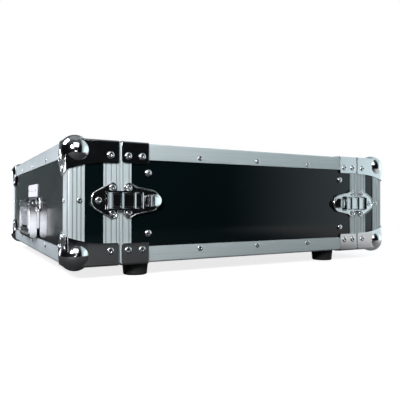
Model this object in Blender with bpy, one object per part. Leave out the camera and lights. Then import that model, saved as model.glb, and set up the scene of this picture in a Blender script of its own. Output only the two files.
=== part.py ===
"""A three-unit double-door rack flight case, in metres, +Z up.

The case stands on its four rubber feet on Z = 0. X runs across the rack opening, the front lid
faces -Y and the rear lid faces +Y. The origin is the bottom centre of the whole object's box.
"""

import math

import bmesh
import bpy
from mathutils import Matrix, Vector

# Driving dimensions of the case, over its aluminium edge extrusions.
WIDTH = 0.530
HEIGHT = 0.160
DEPTH = 0.565
FOOT_HEIGHT = 0.018
FRONT_LID_DEPTH = 0.0685
REAR_LID_DEPTH = 0.0635
HANDLE_REACH = 0.0135
BALL_REACH = 0.0067

# Stock thicknesses and gaps.
METAL = 0.0012
PLATE = 0.0012
PLY = 0.007
GAP = 0.0003
SEAM_HALF = 0.0004
RECESS = METAL + GAP
PLATE_OUT = GAP + PLATE
ARRIS = 0.003
ARRIS_STEPS = 2

# Extrusion faces.
LEG = 0.022
LID_BAND = 0.0223
BODY_BAND = 0.0155
LIP_IN = RECESS + PLY + GAP
LIP_OUT = LIP_IN + METAL
LIP_LENGTH = 0.012
TONGUE_IN = LIP_OUT + 0.0004
TONGUE_OUT = TONGUE_IN + 0.0016
TONGUE_REACH = 0.0065

# Corner hardware.
BRACE_START = 0.0016
BRACE_LENGTH = 0.0387
BRACE_LEG = 0.0275
BRACE_ROUND = 0.0045
BRACE_ROUND_TURNS = (0, 27, 54, 76, 90)
BALL_RADIUS = 0.0199
BALL_INSET = BALL_RADIUS - BALL_REACH
BALL_SEGMENTS = 22
BALL_LEG = 0.0285
BALL_FLARE = 0.0095
BALL_FLARE_LENGTH = 0.050
BALL_FLARE_STEPS = 4
BALL_SHORT = 0.0019
BALL_ROUND = 0.003
ROUND_END_SHARES = (0.0, 0.5, 0.9)
FLANGE_EDGE = 0.038
LOBE_NEAR = 0.022
LOBE_FAR = 0.036
LOBE_RADIUS = 0.009

# Rack rails: 19-inch, three units.
UNIT = 0.04445
RACK_UNITS = 3
RACK_HALF_PITCH = 0.4651 / 2
RACK_HALF_CLEAR = 0.2255
RACK_HOLE_STEPS = (0.00635, 0.022225, 0.0381)
RAIL_STEEL = 0.002
RAIL_DEPTH = 0.030
RAIL_SETBACK = 0.0395
RACK_HOLE = 0.0034
RACK_HOLE_SIDES = 8
BOLT_PITCH = 0.0812
BOLT_SHANK = 0.0029
BOLT_HOLE = 0.0034
BOLT_HEAD = 0.0048
BOLT_HEAD_HEIGHT = 0.0024

# Feet.
FOOT_TOP = 0.018
FOOT_BOTTOM = 0.0165
FOOT_CHAMFER = 0.001
FOOT_INSET = 0.027
FOOT_FROM_FRONT = 0.0995
FOOT_FROM_REAR = 0.119

# Drop handle and badge on the front lid, heights above the case's bottom edge.
HANDLE_CENTRE = -0.0075
PIVOT_HEIGHT = 0.079
PIVOT_OUT = 0.0080
GRIP_HEIGHT = 0.028
GRIP_RADIUS = 0.0063
ARM_IN = 0.0515
ARM_OUT = 0.0585
ARM_TOP_RADIUS = 0.0057
EAR = 0.003
EAR_GAP = 0.0005
EAR_LOW = 0.068
EAR_HIGH = 0.0895
EAR_REACH = 0.015
BRACKET_HALF = 0.085
BRACKET_LOW = 0.066
BRACKET_THICK = 0.0015
HANDLE_PIN = 0.0020
HANDLE_BORE = 0.0024
BADGE_HALF = 0.0485
BADGE_LOW = 0.0905
BADGE_HIGH = 0.1115
BADGE_THICK = 0.001

# Twist latches, measured from the seam along the case, from their own middle and from its face.
LATCH_LIFT = {"front": 0.0033, "rear": 0.0}
LOBE_HALF = 0.0166
LATCH_LOBE = 0.0072
LATCH_EDGE = 0.0012
LATCH_WAIST = 0.0115
KEEPER_LOBE = -0.0109
KEEPER_END = -0.0246
KEEPER_END_RADIUS = 0.0150
CATCH = (-0.0150, -0.0115)
CATCH_HALF = 0.009
CATCH_TOP = 0.0041
PLATE_LOBE = 0.0115
PLATE_WAIST = ((0.0225, 0.0186), (0.030, 0.0174))
PLATE_END = 0.0415
PLATE_END_RADIUS = 0.0150
HOOK = (-0.0186, 0.031)
HOOK_HALF = 0.0125
HOOK_HEIGHTS = (0.0046, 0.0066)
HOOK_FLOOR = 0.0056
HOOK_POCKETS = ((-0.0114, -0.0009), (0.0036, 0.0169), (0.0202, 0.0292))
HOOK_POCKET_HALF = 0.0085
HUB = 0.040
HUB_RADIUS = 0.008
HUB_TOP = 0.0050
WING_PIVOT = 0.0075
WING_PIN = 0.0009
WING_BORE = 0.0012
WING_BARREL = 0.0019
WING_REACH = 0.0175
WING_HALF = 0.0085
WING_NECK = 0.0031
WING_NECK_HALF = 0.0048
WING_HEIGHTS = (0.0070, 0.0084)
HUB_EAR = (0.0053, 0.0075)
HUB_EAR_HALF = 0.002

Y_FRONT = -(DEPTH + HANDLE_REACH + BALL_REACH) / 2 + HANDLE_REACH
Y_REAR = Y_FRONT + DEPTH
Z_LOW = FOOT_HEIGHT
Z_HIGH = FOOT_HEIGHT + HEIGHT
Z_MID = FOOT_HEIGHT + HEIGHT / 2
LID_DEPTH = {"front": FRONT_LID_DEPTH, "rear": REAR_LID_DEPTH}
ENDS = ("front", "rear")
SIDES = {"left": -1, "right": 1}
LEVELS = {"top": 1, "bottom": -1}

MATERIALS = {
    "laminate": ((0.012, 0.016, 0.018), 0.0, 0.25),
    "extrusion": ((0.72, 0.74, 0.77), 1.0, 0.38),
    "chrome": ((0.80, 0.81, 0.82), 1.0, 0.08),
    "rail_steel": ((0.06, 0.06, 0.065), 0.6, 0.45),
    "rubber": ((0.015, 0.015, 0.016), 0.0, 0.75),
    "badge": ((0.62, 0.62, 0.66), 0.9, 0.30),
}


def clear_scene():
    for old in list(bpy.data.objects):
        bpy.data.objects.remove(old)


def material(name):
    """One Principled material of each kind, shared by all its pieces."""
    found = bpy.data.materials.get(name)
    if found:
        return found
    colour, metallic, roughness = MATERIALS[name]
    made = bpy.data.materials.new(name)
    made.use_nodes = True
    shader = made.node_tree.nodes["Principled BSDF"]
    shader.inputs["Base Color"].default_value = (*colour, 1.0)
    shader.inputs["Metallic"].default_value = metallic
    shader.inputs["Roughness"].default_value = roughness
    return made


def add_object(name, shape, kind, origin=(0.0, 0.0, 0.0)):
    """Turns a closed bmesh in world coordinates into an object whose origin is at origin."""
    bmesh.ops.translate(shape, verts=shape.verts, vec=-Vector(origin))
    bmesh.ops.recalc_face_normals(shape, faces=shape.faces)
    mesh = bpy.data.meshes.new(name)
    shape.to_mesh(mesh)
    shape.free()
    mesh.materials.append(material(kind))
    made = bpy.data.objects.new(name, mesh)
    made.location = origin
    bpy.context.scene.collection.objects.link(made)
    smooth(made)
    return made


def smooth(piece):
    piece.data.shade_smooth()
    piece.data.set_sharp_from_angle(angle=math.radians(35))


def combine(base, tools, operation):
    """Joins the tools to the base, or cuts them from it, and removes them."""
    for tool in tools:
        step = base.modifiers.new(tool.name, "BOOLEAN")
        step.operation = operation
        step.object = tool
    depsgraph = bpy.context.evaluated_depsgraph_get()
    mesh = bpy.data.meshes.new_from_object(base.evaluated_get(depsgraph))
    mesh.name = base.name
    base.modifiers.clear()
    base.data = mesh
    for tool in tools:
        bpy.data.objects.remove(tool)
    smooth(base)
    return base


def bridge(sections, closed=False):
    """A solid through equal loops of points: a ring if closed, else capped at both ends."""
    shape = bmesh.new()
    loops = [[shape.verts.new(point) for point in section] for section in sections]
    pairs = list(zip(loops, loops[1:]))
    if closed:
        pairs.append((loops[-1], loops[0]))
    else:
        shape.faces.new(loops[0])
        shape.faces.new(loops[-1])
    for first, second in pairs:
        for i, corner in enumerate(first):
            following = (i + 1) % len(first)
            shape.faces.new((corner, first[following], second[following], second[i]))
    return shape


def prism(outline, place, low, high):
    """The flat outline, swept from low to high along the third direction of place."""
    return bridge([[place(a, b, c) for a, b in outline] for c in (low, high)])


def block(name, low, high, kind):
    """A plain box between two corners."""
    outline = ((low[0], low[1]), (high[0], low[1]), (high[0], high[1]), (low[0], high[1]))
    return add_object(name, prism(outline, world, low[2], high[2]), kind)


def world(x, y, z):
    return Vector((x, y, z))


def arc(centre, radius, start, stop, steps):
    """Points round a centre, from start to stop in degrees, both ends included."""
    angles = [math.radians(start + (stop - start) * i / steps) for i in range(steps + 1)]
    return [(centre[0] + radius * math.cos(a), centre[1] + radius * math.sin(a)) for a in angles]


def circle(centre, radius, steps):
    return arc(centre, radius, 0, 360 - 360 / steps, steps - 1)


def end_y(end, distance):
    """The Y of a plane that lies a distance inside the case from one end."""
    return Y_FRONT + distance if end == "front" else Y_REAR - distance


def rounded_rectangle(inset, y):
    """A loop round the case at an inset from its faces, with the case's rounded arris."""
    radius = max(ARRIS - inset, ARRIS / 6)
    half_x = WIDTH / 2 - inset - radius
    half_z = HEIGHT / 2 - inset - radius
    points = []
    for turn, (sign_x, sign_z) in enumerate(((1, 1), (-1, 1), (-1, -1), (1, -1))):
        centre = (sign_x * half_x, Z_MID + sign_z * half_z)
        points += arc(centre, radius, 90 * turn, 90 * turn + 90, ARRIS_STEPS)
    return [Vector((x, y, z)) for x, z in points]


def ring(name, section, end, kind):
    """A frame round the case, from a section of (inset, distance from the end) points."""
    loops = [rounded_rectangle(inset, end_y(end, distance)) for inset, distance in section]
    return add_object(name, bridge(loops, closed=True), kind)


def edge_place(side, level):
    """Maps (inset from the side, inset from the top or bottom, Y) to a point of the case."""
    sign_x, sign_z = SIDES[side], LEVELS[level]

    def place(a, c, y):
        return Vector((sign_x * (WIDTH / 2 - a), y, Z_MID + sign_z * (HEIGHT / 2 - c)))

    return place


def corner_place(end, side, level):
    """Maps insets from a corner's side, its top or bottom and its end to a point."""
    place_edge = edge_place(side, level)

    def place(a, c, b):
        return place_edge(a, c, end_y(end, b))

    return place


def ball(place, radius):
    """A sphere about the centre of one ball corner."""
    shape = bmesh.new()
    bmesh.ops.create_uvsphere(
        shape, u_segments=BALL_SEGMENTS, v_segments=BALL_SEGMENTS // 2, radius=radius
    )
    bmesh.ops.translate(shape, verts=shape.verts, vec=place(BALL_INSET, BALL_INSET, BALL_INSET))
    return add_object("ball", shape, "chrome")


def corner_cube(place, low, high):
    square = ((low, low), (high, low), (high, high), (low, high))
    return prism(square, place, low, high)


def nip(place, radius):
    """The tip of a corner that lies outside a sphere about its ball's centre."""
    tip = add_object("nip", corner_cube(place, -2 * BALL_REACH, BALL_INSET), "chrome")
    return combine(tip, [ball(place, radius)], "DIFFERENCE")


def nip_corners(piece, end):
    """Cuts the four corners off a lid's piece, to fit inside the ball corners."""
    radius = BALL_RADIUS - PLATE - GAP
    places = [corner_place(end, side, level) for side in SIDES for level in LEVELS]
    return combine(piece, [nip(place, radius) for place in places], "DIFFERENCE")


def lid_shell(end):
    """The glued plywood tray of one lid: a face and four walls."""
    stop = LID_DEPTH[end] - SEAM_HALF - METAL - GAP
    inner = RECESS + PLY
    loops = [
        rounded_rectangle(inner, end_y(end, inner)),
        rounded_rectangle(inner, end_y(end, stop)),
        rounded_rectangle(RECESS, end_y(end, stop)),
        rounded_rectangle(RECESS, end_y(end, RECESS)),
    ]
    return nip_corners(add_object(f"{end}_lid_shell", bridge(loops), "laminate"), end)


def lid_edging(end):
    """The angle extrusion round a lid's face."""
    section = [(0.0, LEG)]
    section += [(ARRIS - a, ARRIS - b) for a, b in arc((0, 0), ARRIS, 0, 90, ARRIS_STEPS)]
    section += [(LEG, 0.0), (LEG, METAL), (METAL, METAL), (METAL, LEG)]
    return nip_corners(ring(f"{end}_lid_edging", section, end, "extrusion"), end)


def lid_valance(end):
    """The channel extrusion round a lid's mouth."""
    seam = LID_DEPTH[end] - SEAM_HALF
    section = (
        (0.0, LID_DEPTH[end] - LID_BAND),
        (0.0, seam),
        (LIP_OUT, seam),
        (LIP_OUT, seam - LIP_LENGTH),
        (LIP_IN, seam - LIP_LENGTH),
        (LIP_IN, seam - METAL),
        (METAL, seam - METAL),
        (METAL, LID_DEPTH[end] - LID_BAND),
    )
    return ring(f"{end}_lid_valance", section, end, "extrusion")


def body_valance(end):
    """The tongued extrusion round one mouth of the body. Its tongue fits inside the lid."""
    seam = LID_DEPTH[end] + SEAM_HALF
    section = (
        (0.0, seam),
        (0.0, LID_DEPTH[end] + BODY_BAND),
        (METAL, LID_DEPTH[end] + BODY_BAND),
        (METAL, seam + METAL),
        (LIP_IN, seam + METAL),
        (LIP_IN, seam + LIP_LENGTH),
        (TONGUE_OUT, seam + LIP_LENGTH),
        (TONGUE_OUT, seam - TONGUE_REACH),
        (TONGUE_IN, seam - TONGUE_REACH),
        (TONGUE_IN, seam),
    )
    return ring(f"body_valance_{end}", section, end, "extrusion")


def rail_bolts():
    """(side, Y, Z) of the eight bolts that hold the rack rails to the side walls."""
    for end in ENDS:
        for sign in SIDES.values():
            for level in (-1, 1):
                distance = LID_DEPTH[end] + RAIL_SETBACK
                yield sign, end_y(end, distance), Z_MID + level * BOLT_PITCH / 2


def side_cylinder(name, sign, y, z, radius, low, high, kind, steps=12):
    """A cylinder along X on one side of the case, from one half width to another."""

    def place(a, b, c):
        return Vector((sign * c, y + a, z + b))

    return add_object(name, prism(circle((0, 0), radius, steps), place, low, high), kind)


def body_sleeve():
    """The plywood body, open at both ends, with the rail bolts' holes through its sides."""
    margin = SEAM_HALF + METAL + GAP
    front = end_y("front", LID_DEPTH["front"] + margin)
    rear = end_y("rear", LID_DEPTH["rear"] + margin)
    inner = RECESS + PLY
    loops = [
        rounded_rectangle(inner, front),
        rounded_rectangle(inner, rear),
        rounded_rectangle(RECESS, rear),
        rounded_rectangle(RECESS, front),
    ]
    sleeve = add_object("body_sleeve", bridge(loops, closed=True), "laminate")
    holes = [
        side_cylinder("hole", sign, y, z, BOLT_HOLE, WIDTH / 2 - 2 * inner, WIDTH / 2, "laminate")
        for sign, y, z in rail_bolts()
    ]
    return combine(sleeve, holes, "DIFFERENCE")


def angle_section(leg, inner, outer):
    """An L round the arris at (0, 0), as insets from the two faces, with a rounded arris."""
    bend = [(ARRIS - a - outer, ARRIS - b - outer) for a, b in arc((0, 0), ARRIS, 0, 90, ARRIS_STEPS)]
    return [(-outer, leg), *bend, (leg, -outer), (leg, inner), (inner, inner), (inner, leg)]


def edge_extrusion(side, level):
    """The angle along one long edge of the body, between the two valances."""
    front = end_y("front", LID_DEPTH["front"] + BODY_BAND + GAP)
    rear = end_y("rear", LID_DEPTH["rear"] + BODY_BAND + GAP)
    shape = prism(angle_section(LEG, METAL, 0.0), edge_place(side, level), front, rear)
    return add_object(f"edge_extrusion_{level}_{side}", shape, "extrusion")


def rounded_end(leg, distance, stop, radius):
    """A leg's length near its rounded end, at a distance along the plate."""
    into = max(0.0, distance - (stop - radius)) / radius
    return leg - radius * (1 - math.sqrt(max(0.0, 1 - into * into)))


def body_brace(end, side, level):
    """The folded plate over the joint of a long edge extrusion and a valance."""
    place = edge_place(side, level)
    start = LID_DEPTH[end] + BRACE_START
    sections = []
    for turn in BRACE_ROUND_TURNS:
        along = BRACE_ROUND * (1 - math.cos(math.radians(turn)))
        leg = BRACE_LEG - BRACE_ROUND * (1 - math.sin(math.radians(turn)))
        sections.append((along, leg))
    stop = BRACE_LENGTH
    for share in ROUND_END_SHARES:
        along = stop - BALL_ROUND * (1 - share)
        sections.append((along, rounded_end(BRACE_LEG, along, stop, BALL_ROUND)))
    loops = []
    for along, leg in sections:
        y = end_y(end, start + along)
        loops.append([place(a, c, y) for a, c in angle_section(leg, -GAP, PLATE_OUT)])
    return add_object(f"body_brace_{end}_{level}_{side}", bridge(loops), "chrome")


def arris_cutter(place, along):
    """What a rounded arris leaves outside it, on a corner's front edge along one direction."""
    centre = ARRIS - PLATE_OUT
    clear = -2 * BALL_REACH
    outline = [(clear, clear), (centre, clear)]
    outline += arc((centre, centre), ARRIS, 270, 180, ARRIS_STEPS)
    outline += [(clear, centre)]

    def level_place(p, q, r):
        return place(r, p, q)

    def upright_place(p, q, r):
        return place(p, r, q)

    turned = level_place if along == "level" else upright_place
    shape = prism(outline, turned, clear, 2 * FLANGE_EDGE)
    return add_object("arris", shape, "chrome")


def ball_corner(end, side, level):
    """A chromed corner: a ball, a long folded leg along the lid and a flange on its face."""
    place = corner_place(end, side, level)
    stop = LID_DEPTH[end] - BALL_SHORT
    stations = [BALL_FLARE_LENGTH * i / BALL_FLARE_STEPS for i in range(1, BALL_FLARE_STEPS + 1)]
    stations += [stop - BALL_ROUND * (1 - share) for share in ROUND_END_SHARES]
    loops = []
    for along in (-PLATE_OUT, *stations):
        flare = max(0.0, 1 - max(0.0, along) / BALL_FLARE_LENGTH)
        leg = rounded_end(BALL_LEG + BALL_FLARE * flare * flare, along, stop, BALL_ROUND)
        loops.append([place(a, c, along) for a, c in angle_section(leg, PLATE, PLATE_OUT)])
    corner = add_object(f"ball_corner_{end}_{level}_{side}", bridge(loops), "chrome")

    outline = [(-PLATE_OUT, -PLATE_OUT), (-PLATE_OUT, FLANGE_EDGE)]
    outline += arc((LOBE_NEAR, LOBE_FAR), LOBE_RADIUS, 110, 45, 4)
    outline += arc((LOBE_FAR, LOBE_NEAR), LOBE_RADIUS, 45, -20, 4)
    outline += [(FLANGE_EDGE, -PLATE_OUT)]
    flange = add_object("flange", prism(outline, place, -PLATE_OUT, PLATE), "chrome")
    combine(corner, [flange], "UNION")
    trims = [arris_cutter(place, "level"), arris_cutter(place, "upright")]
    trims.append(nip(place, BALL_RADIUS - GAP))
    combine(corner, trims, "DIFFERENCE")
    combine(corner, [ball(place, BALL_RADIUS)], "UNION")

    envelope = add_object("envelope", corner_cube(place, -GAP, 2 * stop), "chrome")
    combine(envelope, [nip(place, BALL_RADIUS - PLATE)], "DIFFERENCE")
    return combine(corner, [envelope], "DIFFERENCE")


def rack_rail(end, side):
    """A steel rack rail with its two wall bolts, drilled to the three-unit pattern."""
    sign = SIDES[side]
    wall = WIDTH / 2 - RECESS - PLY - GAP
    bolt_distance = LID_DEPTH[end] + RAIL_SETBACK
    face = end_y(end, bolt_distance - RAIL_DEPTH / 2)
    inward = 1 if end == "front" else -1
    half = RACK_UNITS * UNIT / 2
    outline = (
        (RACK_HALF_CLEAR, 0.0),
        (wall, 0.0),
        (wall, RAIL_DEPTH),
        (wall - RAIL_STEEL, RAIL_DEPTH),
        (wall - RAIL_STEEL, RAIL_STEEL),
        (RACK_HALF_CLEAR, RAIL_STEEL),
    )

    def place(a, b, c):
        return Vector((sign * a, face + inward * b, Z_MID + c))

    rail = add_object(f"rack_rail_{end}_{side}", prism(outline, place, -half, half), "rail_steel")
    bolts = []
    for bolt_sign, y, z in rail_bolts():
        if bolt_sign != sign or abs(y - end_y(end, bolt_distance)) > RAIL_STEEL:
            continue
        head = WIDTH / 2 - METAL
        bolts.append(side_cylinder("shank", sign, y, z, BOLT_SHANK, wall - RAIL_STEEL / 2,
                                   head + METAL / 2, "rail_steel"))
        bolts.append(side_cylinder("head", sign, y, z, BOLT_HEAD, head, head + BOLT_HEAD_HEIGHT,
                                   "rail_steel"))
    combine(rail, bolts, "UNION")

    def through(a, b, c):
        return Vector((a, c, b))

    low, high = face - 2 * RAIL_STEEL, face + 2 * RAIL_STEEL
    holes = []
    for unit in range(RACK_UNITS):
        for step in RACK_HOLE_STEPS:
            z = Z_MID - half + unit * UNIT + step
            hole = circle((sign * RACK_HALF_PITCH, z), RACK_HOLE, RACK_HOLE_SIDES)
            holes.append(add_object("hole", prism(hole, through, low, high), "rail_steel"))
    return combine(rail, holes, "DIFFERENCE")


def foot(end, side):
    """A tapered rubber foot, relieved where it sits over the brace's bottom leg."""
    sign = SIDES[side]
    distance = FOOT_FROM_FRONT if end == "front" else FOOT_FROM_REAR
    centre = (sign * (WIDTH / 2 - FOOT_INSET), end_y(end, distance))
    levels = (
        (0.0, FOOT_BOTTOM - FOOT_CHAMFER),
        (FOOT_CHAMFER, FOOT_BOTTOM),
        (Z_LOW - GAP, FOOT_TOP),
    )
    loops = []
    for z, radius in levels:
        loops.append([Vector((x, y, z)) for x, y in circle(centre, radius, 24)])
    made = add_object(f"foot_{end}_{side}", bridge(loops), "rubber")
    start = LID_DEPTH[end] + BRACE_START
    near = end_y(end, start - GAP)
    far = end_y(end, start + BRACE_LENGTH + GAP)
    inner_x = sign * (WIDTH / 2 - BRACE_LEG - GAP)
    outer_x = sign * (WIDTH / 2 + LEG)
    relief = block(
        "relief",
        (min(inner_x, outer_x), min(near, far), Z_LOW - PLATE_OUT - GAP),
        (max(inner_x, outer_x), max(near, far), Z_HIGH),
        "rubber",
    )
    return combine(made, [relief], "DIFFERENCE")


def panel_place(x, z, out):
    """Maps a place on the front lid's panel and a distance out of it to a point."""
    return Vector((x, Y_FRONT + RECESS - out, Z_LOW + z))


def handle_place(x, z, out):
    """The same, from the handle's own middle."""
    return panel_place(HANDLE_CENTRE + x, z, out)


def lug_place(y, z, x):
    return Vector((HANDLE_CENTRE + x, y, z))


def handle_pivot():
    return handle_place(0.0, PIVOT_HEIGHT, PIVOT_OUT)


def handle_bracket():
    """The handle's base plate, with two pairs of ears and a pin across each pair."""
    radius = (EAR_HIGH - BRACKET_LOW) / 2
    mid = (EAR_HIGH + BRACKET_LOW) / 2
    outline = arc((BRACKET_HALF - radius, mid), radius, -90, 90, 8)
    outline += arc((radius - BRACKET_HALF, mid), radius, 90, 270, 8)
    shape = prism(outline, handle_place, GAP, GAP + BRACKET_THICK)
    bracket = add_object("handle_bracket", shape, "chrome")
    pivot = handle_pivot()
    root_y = Y_FRONT + RECESS - GAP - BRACKET_THICK / 2
    reach_y = Y_FRONT + RECESS - EAR_REACH
    profile = [(root_y, Z_LOW + EAR_LOW), (root_y, Z_LOW + EAR_HIGH)]
    bulge = pivot.y - reach_y
    profile += arc((pivot.y, pivot.z), bulge, 90, 270, 6)
    tools = []
    for sign in SIDES.values():
        for near in (ARM_IN - EAR_GAP - EAR, ARM_OUT + EAR_GAP):
            ear = prism(profile, lug_place, sign * near, sign * (near + EAR))
            tools.append(add_object("ear", ear, "chrome"))
        pin = circle((pivot.y, pivot.z), HANDLE_PIN, 12)
        low, high = ARM_IN - EAR_GAP - EAR / 2, ARM_OUT + EAR_GAP + EAR / 2
        tools.append(add_object("pin", prism(pin, lug_place, sign * low, sign * high), "chrome"))
    return combine(bracket, tools, "UNION")


def handle_bail():
    """The swinging part of the handle: two arms and the bar that the hand holds."""
    pivot = handle_pivot()
    grip_z = Z_LOW + GRIP_HEIGHT
    outline = arc((pivot.y, pivot.z), ARM_TOP_RADIUS, 0, 180, 6)
    outline += arc((pivot.y, grip_z), GRIP_RADIUS, 180, 360, 6)
    arms, bores = [], []
    for sign in SIDES.values():
        arm = prism(outline, lug_place, sign * ARM_IN, sign * ARM_OUT)
        arms.append(add_object("arm", arm, "chrome"))
        bore = circle((pivot.y, pivot.z), HANDLE_BORE, 12)
        low, high = ARM_IN - EAR, ARM_OUT + EAR
        bores.append(add_object("bore", prism(bore, lug_place, sign * low, sign * high), "chrome"))
    bar = circle((pivot.y, grip_z), GRIP_RADIUS - METAL / 4, 16)
    half = (ARM_IN + ARM_OUT) / 2
    bail = add_object("handle_bail", prism(bar, lug_place, -half, half), "chrome")
    combine(bail, arms, "UNION")
    combine(bail, bores, "DIFFERENCE")
    bail.data.transform(Matrix.Translation(-pivot))
    bail.location = pivot
    return bail


def badge():
    """A blank oblong plate above the handle."""
    outline = (
        (-BADGE_HALF, BADGE_LOW),
        (BADGE_HALF, BADGE_LOW),
        (BADGE_HALF, BADGE_HIGH),
        (-BADGE_HALF, BADGE_HIGH),
    )
    shape = prism(outline, panel_place, GAP, GAP + BADGE_THICK)
    return add_object("badge_plate", shape, "badge")


def latch_place(end, side):
    """Maps (along the case from the seam, up from the latch's middle, out) to a point."""
    sign = SIDES[side]

    middle = Z_MID + LATCH_LIFT[end]

    def place(u, v, w):
        return Vector((sign * (WIDTH / 2 + w), end_y(end, LID_DEPTH[end] + u), middle + v))

    return place


def latch_name(piece, end, side):
    return f"latch_{piece}_{end}_{side}"


def mirrored(points):
    """An outline's upper half, given from left to right, closed by its mirror image below."""
    return points + [(u, -v) for u, v in reversed(points) if v > GAP]


def keeper_plate(end, side):
    """The lid's half of a latch, with the raised catch that the hook holds."""
    place = latch_place(end, side)
    upper = arc((KEEPER_END, 0.0), KEEPER_END_RADIUS, 180, 125, 4)
    upper += arc((KEEPER_LOBE, LOBE_HALF), LATCH_LOBE, 125, 0, 6)
    upper += [(KEEPER_LOBE + LATCH_LOBE, LATCH_WAIST), (-LATCH_EDGE, LATCH_WAIST)]
    name = latch_name("keeper", end, side)
    plate = add_object(name, prism(mirrored(upper), place, GAP, PLATE_OUT), "chrome")
    low, high = CATCH
    outline = ((low, -CATCH_HALF), (high, -CATCH_HALF), (high, CATCH_HALF), (low, CATCH_HALF))
    catch = add_object("catch", prism(outline, place, PLATE, CATCH_TOP), "chrome")
    return combine(plate, [catch], "UNION")


def latch_base(end, side):
    """The body's half of a latch, on which the hub turns."""
    place = latch_place(end, side)
    upper = [(LATCH_EDGE, LATCH_WAIST), (PLATE_LOBE - LATCH_LOBE, LATCH_WAIST)]
    upper += arc((PLATE_LOBE, LOBE_HALF), LATCH_LOBE, 180, 65, 6)
    upper += PLATE_WAIST
    upper += arc((PLATE_END, 0.0), PLATE_END_RADIUS, 75, 0, 5)
    name = latch_name("base", end, side)
    return add_object(name, prism(mirrored(upper), place, GAP, PLATE_OUT), "chrome")


def latch_hook(end, side):
    """The draw bar that slides along the base and reaches over the keeper's catch."""
    place = latch_place(end, side)
    low, high = HOOK
    outline = ((low, -HOOK_HALF), (high, -HOOK_HALF), (high, HOOK_HALF), (low, HOOK_HALF))
    name = latch_name("hook", end, side)
    origin = place(low, 0.0, HOOK_HEIGHTS[0])
    bar = add_object(name, prism(outline, place, *HOOK_HEIGHTS), "chrome")
    pockets = []
    for start, stop in HOOK_POCKETS:
        half = HOOK_POCKET_HALF
        outline = ((start, -half), (stop, -half), (stop, half), (start, half))
        top = HOOK_HEIGHTS[1] + METAL
        pockets.append(add_object("pocket", prism(outline, place, HOOK_FLOOR, top), "chrome"))
    combine(bar, pockets, "DIFFERENCE")
    bar.data.transform(Matrix.Translation(-origin))
    bar.location = origin
    return bar


def latch_hub(end, side):
    """The disc that twists on the base, with two ears and the pin of the wing."""
    place = latch_place(end, side)
    disc = prism(circle((HUB, 0.0), HUB_RADIUS, 20), place, PLATE_OUT + GAP, HUB_TOP)
    hub = add_object(latch_name("hub", end, side), disc, "chrome")

    def across(u, w, v):
        return place(u, v, w)

    profile = [(HUB + HUB_EAR_HALF, HUB_TOP - METAL), (HUB + HUB_EAR_HALF, WING_PIVOT)]
    profile += arc((HUB, WING_PIVOT), HUB_EAR_HALF, 30, 150, 4)
    profile += [(HUB - HUB_EAR_HALF, WING_PIVOT), (HUB - HUB_EAR_HALF, HUB_TOP - METAL)]
    near, far = HUB_EAR
    tools = [
        add_object("ear", prism(profile, across, sign * near, sign * far), "chrome")
        for sign in (-1, 1)
    ]
    pin = circle((HUB, WING_PIVOT), WING_PIN, 12)
    middle = (near + far) / 2
    tools.append(add_object("pin", prism(pin, across, -middle, middle), "chrome"))
    combine(hub, tools, "UNION")
    origin = place(HUB, 0.0, PLATE_OUT)
    hub.data.transform(Matrix.Translation(-origin))
    hub.location = origin
    return hub


def latch_wing(end, side):
    """The folding thumb leaf, on a barrel that turns on the hub's pin."""
    place = latch_place(end, side)
    start = HUB + WING_NECK
    stop = HUB + WING_REACH
    middle = stop - WING_HALF
    outline = [(HUB + WING_BORE, -WING_NECK_HALF), (start, -WING_NECK_HALF), (start, -WING_HALF)]
    outline += arc((middle, 0.0), WING_HALF, -90, 90, 8)
    outline += [(start, WING_HALF), (start, WING_NECK_HALF), (HUB + WING_BORE, WING_NECK_HALF)]
    name = latch_name("wing", end, side)
    wing = add_object(name, prism(outline, place, *WING_HEIGHTS), "chrome")

    def across(u, w, v):
        return place(u, v, w)

    barrel = circle((HUB, WING_PIVOT), WING_BARREL, 12)
    bore = circle((HUB, WING_PIVOT), WING_BORE, 12)
    half = WING_NECK_HALF
    combine(wing, [add_object("barrel", prism(barrel, across, -half, half), "chrome")], "UNION")
    combine(wing, [add_object("bore", prism(bore, across, -2 * half, 2 * half), "chrome")], "DIFFERENCE")
    origin = place(HUB, 0.0, WING_PIVOT)
    wing.data.transform(Matrix.Translation(-origin))
    wing.location = origin
    return wing


def build_lids():
    for end in ENDS:
        lid_shell(end)
        lid_edging(end)
        lid_valance(end)
        for side in SIDES:
            for level in LEVELS:
                ball_corner(end, side, level)
    handle_bracket()
    handle_bail()
    badge()


def build_body():
    body_sleeve()
    for side in SIDES:
        for level in LEVELS:
            edge_extrusion(side, level)
    for end in ENDS:
        body_valance(end)
        for side in SIDES:
            rack_rail(end, side)
            foot(end, side)
            for level in LEVELS:
                body_brace(end, side, level)


def build_latches():
    for end in ENDS:
        for side in SIDES:
            keeper_plate(end, side)
            latch_base(end, side)
            latch_hook(end, side)
            latch_hub(end, side)
            latch_wing(end, side)


clear_scene()
build_body()
build_lids()
build_latches()
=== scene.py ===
"""The looks of the three-unit rack flight case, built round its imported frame.

Distances are metres. The front lid faces -Y and the rear lid +Y. A place on the case is given
from its own faces: an inset from a side, a distance from an end, a height above its lower edge.
"""

import math

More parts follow.
